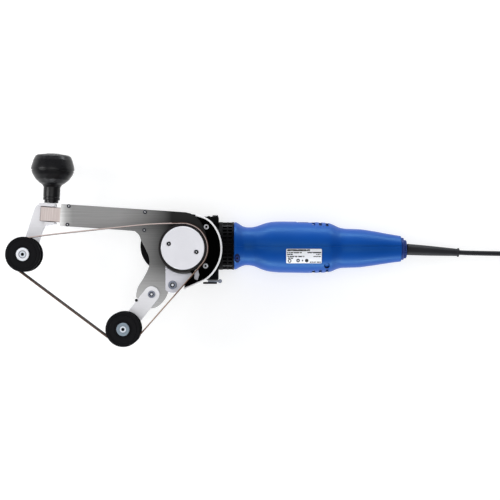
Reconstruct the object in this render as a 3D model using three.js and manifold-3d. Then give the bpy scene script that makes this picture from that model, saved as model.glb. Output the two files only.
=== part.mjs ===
// Pipe belt grinder: a straight electric motor body with an angle gear head that
// drives a contact wheel, and a frame that carries two idler rollers, so that a
// narrow abrasive belt runs round three points and can wrap round a pipe.
//
// Frame: millimetres, +Z up. The tool lies on its back cover. The origin is on the
// drive spindle's axis, on the outer face of the gear head's back cover. +X runs
// from the spindle along the motor body towards the cord, the spindle points up.
import * as THREE from 'three';
import { mergeVertices } from 'three/addons/utils/BufferGeometryUtils.js';
import Module from 'manifold-3d';

const wasm = await Module();
wasm.setup();

// ---------------------------------------------------------------- dimensions
const GAP = 0.3;                 // clearance between touching pieces
const AXIS_Z = 40;               // height of the motor axis above the table

const BELT_WIDTH = 30;           // abrasive belt 30 x 760
const BELT_THICK = 1.6;
const BELT_Z0 = 96;
const BELT_Z1 = BELT_Z0 + BELT_WIDTH;

const WHEEL_R = 36.45;           // contact wheel, tyre outside radius
const TYRE_IN = 30.3;
const DISC_R = 32.55;            // cover disc on the wheel
const ROLLER_R = 23.0;           // running radius of both idler rollers
const FLANGE_R = 26.6;           // their end discs
const FRONT_ROLLER = [-240.0, -9.5];
const LOWER_ROLLER = [-89.4, -122.1];
const LINK_PIVOT = [-48.7, -70.4];
const HUBCAP_R = 9.8;

const PLATE_Z0 = 84.4;           // steel frame plate
const PLATE_Z1 = 87.4;
const COLLAR_R = 28;             // gear head's mounting collar
const COLLAR_Z = 84.1;
const GUARD_R = 58.9;            // belt guard, outside radius
const GUARD_Z0 = 80.3;
const GUARD_Z1 = 116;

const ARM_ORIGIN = [-178, 49.8]; // left end of the arm, on its axis
const ARM_TILT = -3.9;           // degrees
const ARM_HALF = 16.6;
const BAR_HALF_Y = 11.2;         // square slide bar
const BAR_Z0 = 63;
const BAR_Z1 = 81;

const MOTOR_TEETH = 10;          // bevel pinion
const CROWN_TEETH = 31;          // crown gear
const CONE_OUT = 27;             // cone distances of the bevel teeth
const CONE_IN = 19;

const CORD_R = 3.75;             // 7.5 mm mains lead
const COIL_CENTRE = [655, -62];
const COIL_R_IN = 25;
const COIL_R_OUT = 58;
const COIL_Z0 = 1.5;
const COIL_Z1 = 32;

// housing profile: x, upper edge (+Y), lower edge (-Y)
const HOUSING = [
  [76.6, 40.5, -33.8], [81, 40.0, -32.5], [87, 35.8, -28.9],
  [95, 32.4, -26.7], [105, 32.5, -27.6], [116, 35.6, -31.8],
  [129, 39.8, -36.2], [148, 41.5, -38.1],
  [197, 40.6, -38.7], [224, 39.1, -37.3], [233, 35.2, -33.9],
  [243, 30.9, -30.9], [272, 29.2, -30.0],
  [297, 25.6, -26.6], [335.5, 18.6, -21.2],
];
const WALL = 3;
const SPLIT_Y = 2.45;            // plane where the two housing shells meet

// ------------------------------------------------------------------ materials
const mat = (color, roughness, metalness = 0) =>
  new THREE.MeshStandardMaterial({ color, roughness, metalness });
const BLUE = () => mat(0x1d4aa0, 0.45);
const DARK_BLUE = () => mat(0x123070, 0.55);
const BLACK = () => mat(0x161618, 0.5);
const RUBBER = () => mat(0x1c1b1e, 0.8);
const STEEL = () => mat(0x8d8e94, 0.35, 1);
const ALU = () => mat(0xd6d6da, 0.35, 1);
const ZINC = () => mat(0xb9c2cc, 0.3, 1);
const COPPER = () => mat(0xb06a3c, 0.4, 1);
const BRASS = () => mat(0xb89a58, 0.4, 1);

// -------------------------------------------------------------------- helpers
const group = new THREE.Group();
group.name = 'pipe_belt_grinder';

function toManifold(geometry) {
  let g = geometry.clone();
  g.deleteAttribute('normal');
  g.deleteAttribute('uv');
  g = mergeVertices(g, 1e-4);
  const index = Uint32Array.from(g.index.array);
  const tri = [];
  for (let i = 0; i < index.length; i += 3) {
    const [a, b, c] = [index[i], index[i + 1], index[i + 2]];
    if (a !== b && b !== c && c !== a) tri.push(a, b, c);
  }
  return new wasm.Manifold(new wasm.Mesh({
    numProp: 3,
    vertProperties: Float32Array.from(g.attributes.position.array),
    triVerts: Uint32Array.from(tri),
  }));
}

function fromManifold(m) {
  const mesh = m.getMesh();
  const g = new THREE.BufferGeometry();
  const n = mesh.vertProperties.length / mesh.numProp;
  const p = new Float32Array(n * 3);
  for (let i = 0; i < n; i++) {
    for (let k = 0; k < 3; k++) p[i * 3 + k] = mesh.vertProperties[i * mesh.numProp + k];
  }
  g.setAttribute('position', new THREE.BufferAttribute(p, 3));
  g.setIndex(new THREE.BufferAttribute(Uint32Array.from(mesh.triVerts), 1));
  g.computeVertexNormals();
  return g;
}

function clean(geometry) {
  return fromManifold(toManifold(geometry));
}

function solid(base, { add = [], cut = [], keep = [] }) {
  let m = toManifold(base);
  for (const g of add) m = m.add(toManifold(g));
  for (const g of cut) m = m.subtract(toManifold(g));
  for (const g of keep) m = m.intersect(toManifold(g));
  return fromManifold(m);
}

function put(name, geometry, material, parent = group) {
  const mesh = new THREE.Mesh(geometry, material);
  mesh.name = name;
  parent.add(mesh);
  return mesh;
}

// a turned piece on the Z axis; profile is [radius, z] from the bottom upwards
function turned(profile, n = 32, closed = false) {
  const pts = profile.map(([r, z]) => new THREE.Vector2(r, z));
  if (closed) pts.push(pts[0].clone());
  const g = new THREE.LatheGeometry(pts, n);
  g.rotateX(Math.PI / 2);
  return clean(g);
}

// the same on the X axis; profile is [radius, x]
function turnedX(profile, n = 32, closed = false) {
  const pts = profile.map(([r, x]) => new THREE.Vector2(r, x));
  if (closed) pts.push(pts[0].clone());
  const g = new THREE.LatheGeometry(pts, n);
  g.rotateZ(-Math.PI / 2);
  return clean(g);
}

const at = (g, x, y, z = 0) => g.translate(x, y, z);
const cyl = (r, z0, z1, n = 24) => turned([[0, z0], [r, z0], [r, z1], [0, z1]], n);
const ring = (ri, ro, z0, z1, n = 32) =>
  turned([[ri, z0], [ro, z0], [ro, z1], [ri, z1]], n, true);
const cylX = (r, x0, x1, n = 24) => turnedX([[0, x0], [r, x0], [r, x1], [0, x1]], n);
const ringX = (ri, ro, x0, x1, n = 32) =>
  turnedX([[ri, x0], [ro, x0], [ro, x1], [ri, x1]], n, true);

function block(x0, x1, y0, y1, z0, z1) {
  const g = new THREE.BoxGeometry(x1 - x0, y1 - y0, z1 - z0);
  g.translate((x0 + x1) / 2, (y0 + y1) / 2, (z0 + z1) / 2);
  return clean(g);
}

function plate(points, z0, z1, holes = []) {
  const shape = new THREE.Shape(points.map(([x, y]) => new THREE.Vector2(x, y)));
  const g = new THREE.ExtrudeGeometry(shape, { depth: z1 - z0, bevelEnabled: false, steps: 1 });
  g.translate(0, 0, z0);
  return solid(g, { cut: holes.map(([x, y, r, n = 12]) => at(cyl(r, z0 - 5, z1 + 5, n), x, y)) });
}

// points of an arc, degrees, both ends included
function arc(cx, cy, r, a0, a1, n) {
  const out = [];
  for (let i = 0; i <= n; i++) {
    const a = ((a0 + ((a1 - a0) * i) / n) * Math.PI) / 180;
    out.push([cx + r * Math.cos(a), cy + r * Math.sin(a)]);
  }
  return out;
}

function smooth(points, perSegment = 4) {
  const c = new THREE.CatmullRomCurve3(points.map(([x, y]) => new THREE.Vector3(x, y, 0)), false, 'centripetal');
  return c.getPoints((points.length - 1) * perSegment).map((p) => [p.x, p.y]);
}

// a screw with a raised head and a drive recess, standing on height z
function screw(x, y, z, headR, headH, shankR, shankL, n = 10) {
  const g = turned([
    [0, z - shankL], [shankR, z - shankL], [shankR, z], [headR, z], [headR, z + headH * 0.7],
    [headR * 0.8, z + headH], [headR * 0.42, z + headH], [0, z + headH * 0.45],
  ], n);
  return at(g, x, y);
}

// housing body as a warped lathe: each ring becomes an oval between the two edges
function housingSolid(offset, xFrom = -1e9, xTo = 1e9, n = 22) {
  const rows = HOUSING.map(([x, top, bottom]) => {
    const half = (top - bottom) / 2;
    return { x: Math.min(Math.max(x, xFrom), xTo), c: (top + bottom) / 2, hy: half + offset, hz: Math.min(half, 39.85) + offset };
  });
  const pts = [new THREE.Vector2(0, 0)];
  rows.forEach((_, i) => pts.push(new THREE.Vector2(1, i)));
  pts.push(new THREE.Vector2(0, rows.length - 1));
  const g = new THREE.LatheGeometry(pts, n);
  g.rotateZ(-Math.PI / 2);                       // axis now along +X
  const p = g.attributes.position;
  for (let i = 0; i < p.count; i++) {
    const k = Math.round(p.getX(i));
    const r = rows[k];
    p.setXYZ(i, r.x, r.c + p.getY(i) * r.hy, AXIS_Z + p.getZ(i) * r.hz);
  }
  return clean(g);
}

// --------------------------------------------------------------- gear head
// plan outline: round nose on the left, flange on the right
const headOutline = [
  ...arc(-26.8, 3.2, 41.4, 84, 276, 18),
  [30, -36.4], [46, -35.6], [52.6, -34.1], [52.6, 40.5], [46, 42.0], [20, 43.6],
];
const gearHead = solid(plate(headOutline, 4.3, 58), {
  add: [
    cyl(COLLAR_R, 50, COLLAR_Z, 30),
    at(cyl(6, 50, 80, 10), 34.4, 32.4),
    at(cyl(6, 50, 80, 10), 33.2, -27.4),
    block(22.2, 52.6, 38, 48.6, 28, 58),
    block(31, 52.6, -49.2, -30, 44, 73.7),
  ],
  cut: [
    cyl(30, 0, 52, 24),
    cyl(16.4, 51, 74, 16),
    cyl(9, 73, 90, 14),
    at(cylX(9, 20, 60, 14), 0, 0, AXIS_Z),
    at(cylX(11.4, 40.5, 60, 14), 0, 0, AXIS_Z),
    block(42.4, 52.2, 40.4, 60, 32.6, 48.4),
  ],
});
put('gear_head_housing', gearHead, BLACK());

put('gear_head_back_cover', solid(plate(headOutline.map(([x, y]) => [x * 0.985, y * 0.985]), 0, 4), {
  add: [ring(11.3, 14.5, 3, 14, 24)],
}), BLACK());

put('motor_neck_ring', at(ringX(30.5, 37.15, 52.9, 76.3, 28), 0, 3.35, AXIS_Z), BLACK());

put('spindle_lock_button', solid(block(42.7, 51.9, 43.8, 50.6, 33, 48), {
  add: [block(43.2, 45, 50, 51.4, 34, 47), block(46.4, 48.2, 50, 51.4, 34, 47), block(49.6, 51.4, 50, 51.4, 34, 47)],
}), BLACK());

put('guard_clamp_lever', solid(block(36.6, 57.2, -52.3, -49.6, 58, 73), {
  add: [block(29, 50.4, -55.2, -52.1, 58, 73)],
}), ZINC());

// ------------------------------------------------------------ spindle, wheel
put('spindle', turned([
  [0, 6.5], [6, 6.5], [6, 16], [8, 16], [8, 59], [6, 59], [6, 118], [0, 118],
], 20), STEEL());
put('spindle_bearing_lower', ring(6.3, 11, 7.5, 15, 14), STEEL());
put('spindle_bearing_upper', ring(6.3, 16, 60, 72, 16), STEEL());

const D1 = Math.atan(MOTOR_TEETH / CROWN_TEETH);
const D2 = Math.PI / 2 - D1;

// one bevel tooth as a tapered block in a gear's own frame: axis +Z, apex at the
// origin, centred on +X
function bevelTooth(delta, teeth) {
  const g = new THREE.BoxGeometry(1, 1, 1);
  const p = g.attributes.position;
  for (let i = 0; i < p.count; i++) {
    const R = p.getX(i) < 0 ? CONE_IN : CONE_OUT;
    const m = (2 * R * Math.sin(delta)) / teeth;
    const tip = p.getY(i) > 0;
    const h = tip ? 0.62 * m : -1.6 * m;
    const w = 0.19 * Math.PI * m - (tip ? 0.62 : -1.6) * m * Math.tan((20 * Math.PI) / 180);
    const side = p.getZ(i) > 0 ? 1 : -1;
    const rad = R * Math.sin(delta) + h * Math.cos(delta);
    const ax = R * Math.cos(delta) - h * Math.sin(delta);
    p.setXYZ(i, rad, side * w, ax);
  }
  return g;
}

function bevelGear(delta, teeth, phase, body) {
  let m = toManifold(body);
  for (let k = 0; k < teeth; k++) {
    const t = bevelTooth(delta, teeth);
    t.rotateZ(((k + phase) * 2 * Math.PI) / teeth);
    let tooth = toManifold(t);
    if (tooth.volume() < 0) {
      const idx = t.index.array;
      for (let i = 0; i < idx.length; i += 3) { const a = idx[i]; idx[i] = idx[i + 1]; idx[i + 1] = a; }
      tooth = toManifold(t);
    }
    m = m.add(tooth);
  }
  return fromManifold(m);
}

const rootPoint = (R, delta, teeth, k = 1.15) => {
  const m = (2 * R * Math.sin(delta)) / teeth;
  return [R * Math.sin(delta) - k * m * Math.cos(delta), R * Math.cos(delta) + k * m * Math.sin(delta)];
};

// crown gear: apex at the motor axis, teeth upwards, so it is built upside down
const c0 = rootPoint(CONE_IN - 0.5, D2, CROWN_TEETH);
const c1 = rootPoint(CONE_OUT + 0.5, D2, CROWN_TEETH);
const crownBody = turned([
  [8.3, c0[1]], [c0[0], c0[1]], [c1[0], c1[1]], [c1[0], 16], [15, 16], [15, 20], [8.3, 20],
], 31, true);
crownBody.rotateZ(-Math.PI / 2);
const crown = bevelGear(D2, CROWN_TEETH, 0.5, crownBody);
crown.rotateX(Math.PI);
crown.translate(0, 0, AXIS_Z);
put('crown_gear', crown, STEEL());

const p0 = rootPoint(CONE_IN - 0.5, D1, MOTOR_TEETH);
const p1 = rootPoint(CONE_OUT + 0.5, D1, MOTOR_TEETH);
const pinionBody = turned([
  [0, p0[1]], [p0[0], p0[1]], [p1[0], p1[1]], [5, p1[1] + 2], [5, 38], [0, 38],
], 10);
const pinion = bevelGear(D1, MOTOR_TEETH, 0, pinionBody);
pinion.rotateY(Math.PI / 2);                     // axis +X, first tooth points down
pinion.translate(0, 0, AXIS_Z);
put('bevel_pinion', pinion, STEEL());

put('wheel_hub', turned([
  [6.3, 88], [12, 88], [12, 95], [30, 95], [30, 126], [6.3, 126],
], 26, true), ALU());
put('wheel_tyre', ring(TYRE_IN, WHEEL_R, BELT_Z0, BELT_Z1, 44), RUBBER());
const DISC_SCREWS = [[-20.7, 6.3], [20.6, -6.0]];
put('wheel_disc', solid(cyl(DISC_R, 126.3, 129.3, 40), {
  cut: DISC_SCREWS.map(([x, y]) => at(cyl(3.3, 120, 135, 12), x, y)),
}), ALU());
DISC_SCREWS.forEach(([x, y], i) => {
  put(['disc_screw_left', 'disc_screw_right'][i], at(turned([
    [0, 126.4], [3, 126.4], [3, 129.1], [1.8, 129.1], [0, 127.8],
  ], 8), x, y), ZINC());
});

// ---------------------------------------------------------------------- guard
const TIP_OUT = [2.4, -62.9];
const TIP_IN = [0.9, -60.4];
const GUARD_A0 = 69.5;
const GUARD_A1 = -55.4;
// the guard's radius shrinks towards its upper end, where it meets the frame
function guardArc(offset, a0, a1, n) {
  const out = [];
  for (let i = 0; i <= n; i++) {
    const a = a0 + ((a1 - a0) * i) / n;
    const u = Math.min(Math.max((a - 42) / 34, 0), 1);
    const r = GUARD_R - 4.4 * u * u * (3 - 2 * u) - offset;
    out.push([0.3 + r * Math.cos((a * Math.PI) / 180), -0.7 + r * Math.sin((a * Math.PI) / 180)]);
  }
  return out;
}
const guardPlate = plate([
  TIP_OUT, ...guardArc(0, GUARD_A1, GUARD_A0, 24),
  [6, 53.0], [-8, 53.5], ...arc(0, 0, COLLAR_R + 0.4, 106.4, -106.4, 20), [-8, -32], [0.9, -42], TIP_IN,
], GUARD_Z0, GUARD_Z0 + 2, [[34.4, 32.4, 2.3], [33.2, -27.4, 2.3]]);
const guardWall = plate([
  TIP_OUT, ...guardArc(0, GUARD_A1, GUARD_A0, 24),
  ...guardArc(2.2, GUARD_A0, GUARD_A1, 24), TIP_IN,
], GUARD_Z0, GUARD_Z1);
put('belt_guard', solid(guardPlate, { add: [guardWall] }), BLACK());
put('guard_screw_upper', screw(34.4, 32.4, GUARD_Z0 + 2.3, 4.1, 2.6, 2, 2), ZINC());
put('guard_screw_lower', screw(33.2, -27.4, GUARD_Z0 + 2.3, 4.1, 2.6, 2, 2), ZINC());

// ---------------------------------------------------------------- steel frame
const ARM_SCREWS = [[-175.2, 64.0], [-177.3, 35.6], [-59, 54.9], [-60.1, 27.4]];
const WHEEL_BRACKET_SCREW = [-16.8, -56.2];
const frameOutline = [
  [-187.2, 67.3], [-143, 64.5], [-82, 60.4], [-21, 56.3], [3, 54.6],
  ...smooth([[10, 53.0], [17.2, 48.9], [23.3, 43.4], [30.9, 30.6], [35.4, 12.3], [34.5, 0], [31, -12], [23, -25], [12, -32.5]], 2),
  [7.5, -42], [-5, -58], [-11, -64.5], [-19, -65.5], [-23.8, -67.4],
  ...smooth([[-25.2, -71.5], [-28.5, -77.8], [-36, -86.6], [-44, -91.3], [-53, -92.3]], 2),
  [-72.9, -74.7], ...smooth([[-72.4, -69.2], [-69.8, -59.5], [-62.2, -47.2], [-53.4, -29.5], [-52.2, -21.3], [-53.3, -13.2], [-59.1, 0.1], [-65.2, 12.3], [-68.3, 19.9], [-74.4, 25.6]], 2),
  [-82, 26.5], [-143, 30.7], [-189.3, 33.7],
];
put('frame_plate', plate(frameOutline, PLATE_Z0, PLATE_Z1, [
  [0, 0, 21, 24],
  ...ARM_SCREWS.map(([x, y]) => [x, y, 1.5, 10]),
  [...WHEEL_BRACKET_SCREW, 2.8, 12], [...LINK_PIVOT, 4.3, 12],
]), STEEL());
['arm_screw_front_upper', 'arm_screw_front_lower', 'arm_screw_rear_upper', 'arm_screw_rear_lower'].forEach((name, i) => {
  const [x, y] = ARM_SCREWS[i];
  put(name, screw(x, y, PLATE_Z1 + GAP, 2.9, 1.9, 1.2, 3, 8), ZINC());
});

// arm pieces are set out along the tilted arm axis
const arm = new THREE.Group();
arm.position.set(ARM_ORIGIN[0], ARM_ORIGIN[1], 0);
arm.rotation.z = (ARM_TILT * Math.PI) / 180;
group.add(arm);

put('arm_end_block', solid(block(-10.7, -0.3, -16.9, 16.9, 60, COLLAR_Z), {
  cut: [block(-20, 10, -BAR_HALF_Y - 0.35, BAR_HALF_Y + 0.35, BAR_Z0 - 0.35, BAR_Z1 + 0.35)],
}), ALU(), arm);
put('arm_channel', solid(block(0, 150, -ARM_HALF, ARM_HALF, 60, COLLAR_Z), {
  cut: [block(-5, 62, -ARM_HALF + 2.5, ARM_HALF - 2.5, 62.5, 90), block(65, 147.5, -ARM_HALF + 2.5, ARM_HALF - 2.5, 62.5, 90)],
}), STEEL(), arm);
put('slide_bar', block(-42, 24, -BAR_HALF_Y, BAR_HALF_Y, BAR_Z0, BAR_Z1), ALU(), arm);
const springTube = turnedX([[4.5, 24.3], [6.5, 24.3], [6.5, 61.7], [4.5, 61.7]], 16, true);
put('tension_spring', at(springTube, 0, 0, 72), STEEL(), arm);

// -------------------------------------------------------------- front bracket
const F = FRONT_ROLLER;
const frontBracket = solid(plate([
  [-197.8, 68.6], [-221.4, 68.6], [-225.6, 67.4], [-228.5, 64.8], [-231.6, 58.6], [-243.9, 20.1],
  [-251.6, -5.4], ...arc(F[0], F[1], 12, 160, 350, 10), [-222.6, 13.0],
  [-219.3, 23.2], [-217.7, 27.8], [-214.6, 33.2], [-210, 34.9], [-197.8, 37],
], 51, 62.7, [[F[0], F[1], 4.3, 16]]), {
  add: [
    plate([[-197.8, 68.6], [-221.4, 68.6], [-222.4, 68], [-222.4, 64.5], [-197.8, 62.8]], 51, 81),
    plate([[-197.8, 39.5], [-213.8, 40.5], [-212.6, 34.4], [-210, 34.9], [-197.8, 37]], 51, 81),
  ],
});
put('front_bracket', frontBracket, ALU());

const knob = turned([
  [0, 0], [10.8, 0], [10.8, 4.4], [12.9, 4.4], [12.9, 26.4], [19.5, 30.8], [25.6, 36.2],
  [30.6, 43.6], [33.3, 51.6], [32.2, 58.4], [29.9, 66.2], [26.6, 71.6], [18, 75.2], [0, 76.3],
], 26);
const knobMesh = put('knob', knob, BLACK());
knobMesh.rotation.set(-Math.PI / 2, 0, (-2.4 * Math.PI) / 180, 'ZXY');
knobMesh.position.set(-204.9, 69.4, 62);

function axle(cx, cy, z0, zNut, zSpacer0, zSpacer1) {
  return at(turned([
    [0, z0], [6.5, z0], [6.5, zNut], [4, zNut], [4, zSpacer0], [8, zSpacer0], [8, zSpacer1], [4, zSpacer1],
    [4, 129.3], [HUBCAP_R, 129.3], [HUBCAP_R, 130.8], [8.6, 131.4], [3, 131.4], [0, 129.8],
  ], 14), cx, cy);
}
function roller(cx, cy) {
  return at(turned([
    [4.4, 93.3], [FLANGE_R, 93.3], [FLANGE_R, 95.7], [ROLLER_R, 95.7], [ROLLER_R, 126.3], [FLANGE_R, 126.3],
    [FLANGE_R, 129], [4.4, 129],
  ], 36, true), cx, cy);
}
put('front_axle', axle(F[0], F[1], 46, 50.7, 63, 93), ZINC());
put('front_roller', roller(F[0], F[1]), BLACK());

// ---------------------------------------------------------- lower arm, roller
const P = LINK_PIVOT;
const Q = LOWER_ROLLER;
const linkAngle = (Math.atan2(Q[1] - P[1], Q[0] - P[0]) * 180) / Math.PI;
put('lower_link', solid(plate([
  ...arc(P[0], P[1], 12.2, linkAngle + 90, linkAngle + 270, 14),
  ...arc(Q[0], Q[1], 12.2, linkAngle - 90, linkAngle + 90, 14),
], 87.7, 92.7, [[P[0], P[1], 4.3, 12], [Q[0], Q[1], 4.3, 12]]), {
  add: [at(cyl(2.2, 88.2, 94.5, 10), -71.9, -79.5)],
}), ALU());
put('link_pivot_screw', at(turned([
  [0, 80], [7, 80], [7, 84.1], [4, 84.1], [4, 93], [5.6, 93], [5.6, 95], [2.6, 95.6], [0, 94.2],
], 12), P[0], P[1]), ZINC());
put('lower_axle', axle(Q[0], Q[1], 84.0, 87.4, 92.75, 93.0), ZINC());
put('lower_roller', roller(Q[0], Q[1]), BLACK());

put('wheel_bracket', plate([
  ...arc(0, 0, 39, 225, 287, 12), [13.2, -40.2], [-2.5, -60.9], [-6.4, -65.2], [-11, -67.6], [-17, -68.4], [-22.6, -67.4], [-27.6, -63.9],
], 87.7, 91.7, [[...WHEEL_BRACKET_SCREW, 2.8, 12]]), ALU());
put('wheel_bracket_screw', screw(WHEEL_BRACKET_SCREW[0], WHEEL_BRACKET_SCREW[1], 92, 6.6, 2.6, 2.4, 7, 12), ZINC());

// ----------------------------------------------------------------------- belt
// the loop's middle line: straight lower runs, and a top run that bows a little
function beltLine() {
  const rw = WHEEL_R + GAP + BELT_THICK / 2;
  const rr = ROLLER_R + GAP + BELT_THICK / 2;
  const C = [[F[0], F[1], rr], [Q[0], Q[1], rr], [0, 0, rw]];
  const normal = (a, b) => {
    const d = Math.hypot(b[0] - a[0], b[1] - a[1]);
    return Math.atan2(b[1] - a[1], b[0] - a[0]) - Math.PI / 2 + Math.asin((a[2] - b[2]) / d);
  };
  const deg = Math.PI / 180;
  const spans = [[100 * deg, normal(C[0], C[1])], [normal(C[0], C[1]), normal(C[1], C[2])], [normal(C[1], C[2]), 90 * deg]];
  const pts = [];
  spans.forEach(([a0, end], i) => {
    const c = C[i];
    let a1 = end;
    while (a1 < a0) a1 += 2 * Math.PI;
    const n = Math.max(6, Math.round((a1 - a0) / ((2 * Math.PI) / 46)));
    for (let k = 0; k <= n; k++) {
      const a = a0 + ((a1 - a0) * k) / n;
      pts.push([c[0] + c[2] * Math.cos(a), c[1] + c[2] * Math.sin(a)]);
    }
  });
  const top = smooth([[0, rw], [-19, 37.1], [-54, 35.6], [-100, 31.0], [-139.2, 26.8], [-200.2, 20.2], pts[0]], 2);
  pts.push(...top.slice(1, -1));
  return pts;
}
function offsetLoop(pts, d) {
  return pts.map((p, i) => {
    const a = pts[(i + pts.length - 1) % pts.length];
    const b = pts[(i + 1) % pts.length];
    const l = Math.hypot(b[0] - a[0], b[1] - a[1]);
    return [p[0] + (d * (b[1] - a[1])) / l, p[1] - (d * (b[0] - a[0])) / l];
  });
}
const outerLoop = offsetLoop(beltLine(), BELT_THICK / 2);
const innerLoop = offsetLoop(beltLine(), -BELT_THICK / 2);
const beltShape = new THREE.Shape(outerLoop.map(([x, y]) => new THREE.Vector2(x, y)));
beltShape.holes.push(new THREE.Path(innerLoop.slice().reverse().map(([x, y]) => new THREE.Vector2(x, y))));
const beltGeometry = new THREE.ExtrudeGeometry(beltShape, { depth: BELT_WIDTH, bevelEnabled: false, steps: 1 });
beltGeometry.translate(0, 0, BELT_Z0);
put('abrasive_belt', clean(beltGeometry), mat(0x8a6a5c, 0.95));

// -------------------------------------------------------------- motor housing
const outerBody = housingSolid(0);
const innerBody = housingSolid(-WALL, 74.6, 333);
const hole = (x, y, z0, r) => at(cyl(r, z0, 90, 10), x, y);
const SCREW_FRONT = [81.4, -15.6];
const SCREW_REAR = [219.5, -27.2];
const vents = [];
for (const x of [199.4, 209.8, 220.2]) {
  vents.push(block(x - 1.7, x + 1.7, 31, 60, 33, 57), block(x - 1.7, x + 1.7, -60, -29, 33, 57));
}
const bulkheads = [at(ringX(11.3, 34, 236, 244, 16), 0, 0, AXIS_Z)];
let shell = toManifold(outerBody).subtract(toManifold(innerBody));
for (const b of bulkheads) shell = shell.add(toManifold(b).intersect(toManifold(outerBody)));
for (const [x, y, r] of [[SCREW_FRONT[0], SCREW_FRONT[1] + 2.7, 6.4], [SCREW_FRONT[0], SCREW_FRONT[1] - 2.7, 6.4], [...SCREW_REAR, 7.2]]) {
  shell = shell.add(toManifold(at(cyl(r, 46, 80, 10), x, y)).intersect(toManifold(outerBody)));
}
// the front recess is an oval of three overlapping bores
shell = shell.subtract(toManifold(hole(SCREW_FRONT[0], SCREW_FRONT[1], 61, 4.3)));
shell = shell.subtract(toManifold(hole(SCREW_FRONT[0], SCREW_FRONT[1] + 2.7, 61, 4.3)));
shell = shell.subtract(toManifold(hole(SCREW_FRONT[0], SCREW_FRONT[1] - 2.7, 61, 4.3)));
shell = shell.subtract(toManifold(hole(...SCREW_REAR, 55, 4.4)));
for (const v of vents) shell = shell.subtract(toManifold(v));
shell = shell.subtract(toManifold(block(173.6, 197.0, 30, 60, 30.6, 49.4)));
const halfUp = toManifold(block(0, 400, SPLIT_Y + 0.15, 100, -20, 120));
const halfDown = toManifold(block(0, 400, -100, SPLIT_Y - 0.15, -20, 120));
put('housing_shell_upper', fromManifold(shell.intersect(halfUp)), BLUE());
put('housing_shell_lower', fromManifold(shell.intersect(halfDown)), BLUE());

const labelSolid = toManifold(housingSolid(0.8)).subtract(toManifold(housingSolid(0.3)))
  .intersect(toManifold(block(156, 211.6, -23.7, -0.9, 50, 100)));
put('rating_plate', fromManifold(labelSolid), mat(0xd6d8dc, 0.4));

put('housing_screw_front', screw(SCREW_FRONT[0], SCREW_FRONT[1], 62.4, 3.9, 2.4, 2, 1, 10), ZINC());
put('housing_screw_rear', screw(SCREW_REAR[0], SCREW_REAR[1], 56.4, 3.9, 2.4, 2, 1, 10), ZINC());

put('slide_switch', solid(block(174, 192, 35.6, 39.9, 31.4, 48.6), {
  add: [block(177, 179, 39.7, 40.6, 32, 48), block(182, 184, 39.7, 40.6, 32, 48), block(187, 189, 39.7, 40.6, 32, 48)],
}), BLACK());
put('rear_cap', solid(at(cylX(17.3, 335.8, 339.4, 22), 0, -1.2, AXIS_Z), {
  add: [at(cylX(14.3, 338.8, 343.9, 22), 0, -1.85, AXIS_Z)],
  cut: [at(cylX(5, 330, 350, 10), 0, -1.5, AXIS_Z)],
}), DARK_BLUE());
put('switch_module', block(250, 288, -13, 13, 28, 52), BLACK());

// ----------------------------------------------------------------- motor parts
const M = (g) => at(g, 0, 0, AXIS_Z);
put('front_motor_bearing', M(ringX(5.3, 11, 41, 50, 14)), STEEL());
put('rear_motor_bearing', M(ringX(5.3, 11, 236.5, 243.5, 14)), STEEL());
put('rotor_shaft', M(cylX(5, 38.3, 245, 16)), STEEL());
put('cooling_fan', M(solid(ringX(5.3, 9, 90, 104, 16), {
  add: Array.from({ length: 8 }, (_, i) => {
    const b = block(91, 103, 7, 21.5, -0.9, 0.9);
    b.rotateX((i * Math.PI) / 4);
    return b;
  }),
})), BLACK());
put('rotor_core', M(ringX(5.3, 22.6, 146, 192, 22)), COPPER());
put('stator', M(ringX(23.6, 33.2, 146, 192, 22)), STEEL());
put('commutator', M(ringX(5.3, 13, 212, 230, 14)), BRASS());
put('brush_upper', M(block(215, 227, 13.4, 28.5, -5, 5)), BRASS());
put('brush_lower', M(block(215, 227, -28.5, -13.4, -5, 5)), BRASS());

// -------------------------------------------------------------- mains lead
// tapered strain relief with a collar at its end
const relief = turnedX([
  [0, 0], [8.8, 0], [7.9, 30], [5.7, 79], [6.9, 79.2], [6.9, 81.2], [0, 81.2],
], 16);
const reliefMesh = put('strain_relief', relief, RUBBER());
reliefMesh.position.set(345.0, -2.1, AXIS_Z);
reliefMesh.rotation.set(0, (2.5 * Math.PI) / 180, (-3.4 * Math.PI) / 180, 'ZYX');

// route of the lead from the strain relief down to the table and to the coil
const CORD_POINTS = [
  [426.7, -6.9, 36.4], [436, -7.4, 35.9], [450, -7.8, 34.4], [468, -8.2, 30.6], [490, -8.6, 23.6],
  [512, -9.0, 15.9], [534, -9.3, 9.4], [556, -9.6, 5.7], [578, -9.9, 4.8], [600, -10.0, 5.2], [622.0, -10.0, 5.6],
];
function tube(points, r, sides, steps) {
  const curve = new THREE.CatmullRomCurve3(points.map((p) => new THREE.Vector3(...p)), false, 'centripetal');
  const s = new THREE.Shape(arc(0, 0, r, 0, 360, sides).slice(0, sides).map(([x, y]) => new THREE.Vector2(x, y)));
  return clean(new THREE.ExtrudeGeometry(s, { steps, bevelEnabled: false, extrudePath: curve }));
}
put('mains_cord', tube(CORD_POINTS, CORD_R, 10, 14), RUBBER());

const [cx, cy] = COIL_CENTRE;
put('cord_coil', at(turned([
  [COIL_R_IN, COIL_Z0], [COIL_R_OUT, COIL_Z0], [COIL_R_OUT, COIL_Z1], [COIL_R_IN, COIL_Z1],
], 32, true), cx, cy), RUBBER());
put('cord_tie', solid(block(cx + COIL_R_IN - 1.8, cx + COIL_R_OUT + 1.6, cy - 6, cy + 6, 0.2, COIL_Z1 + 1.3), {
  cut: [block(cx + COIL_R_IN - 0.9, cx + COIL_R_OUT + 0.6, cy - 20, cy + 20, 1.1, COIL_Z1 + 0.4)],
}), BLACK());

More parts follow.
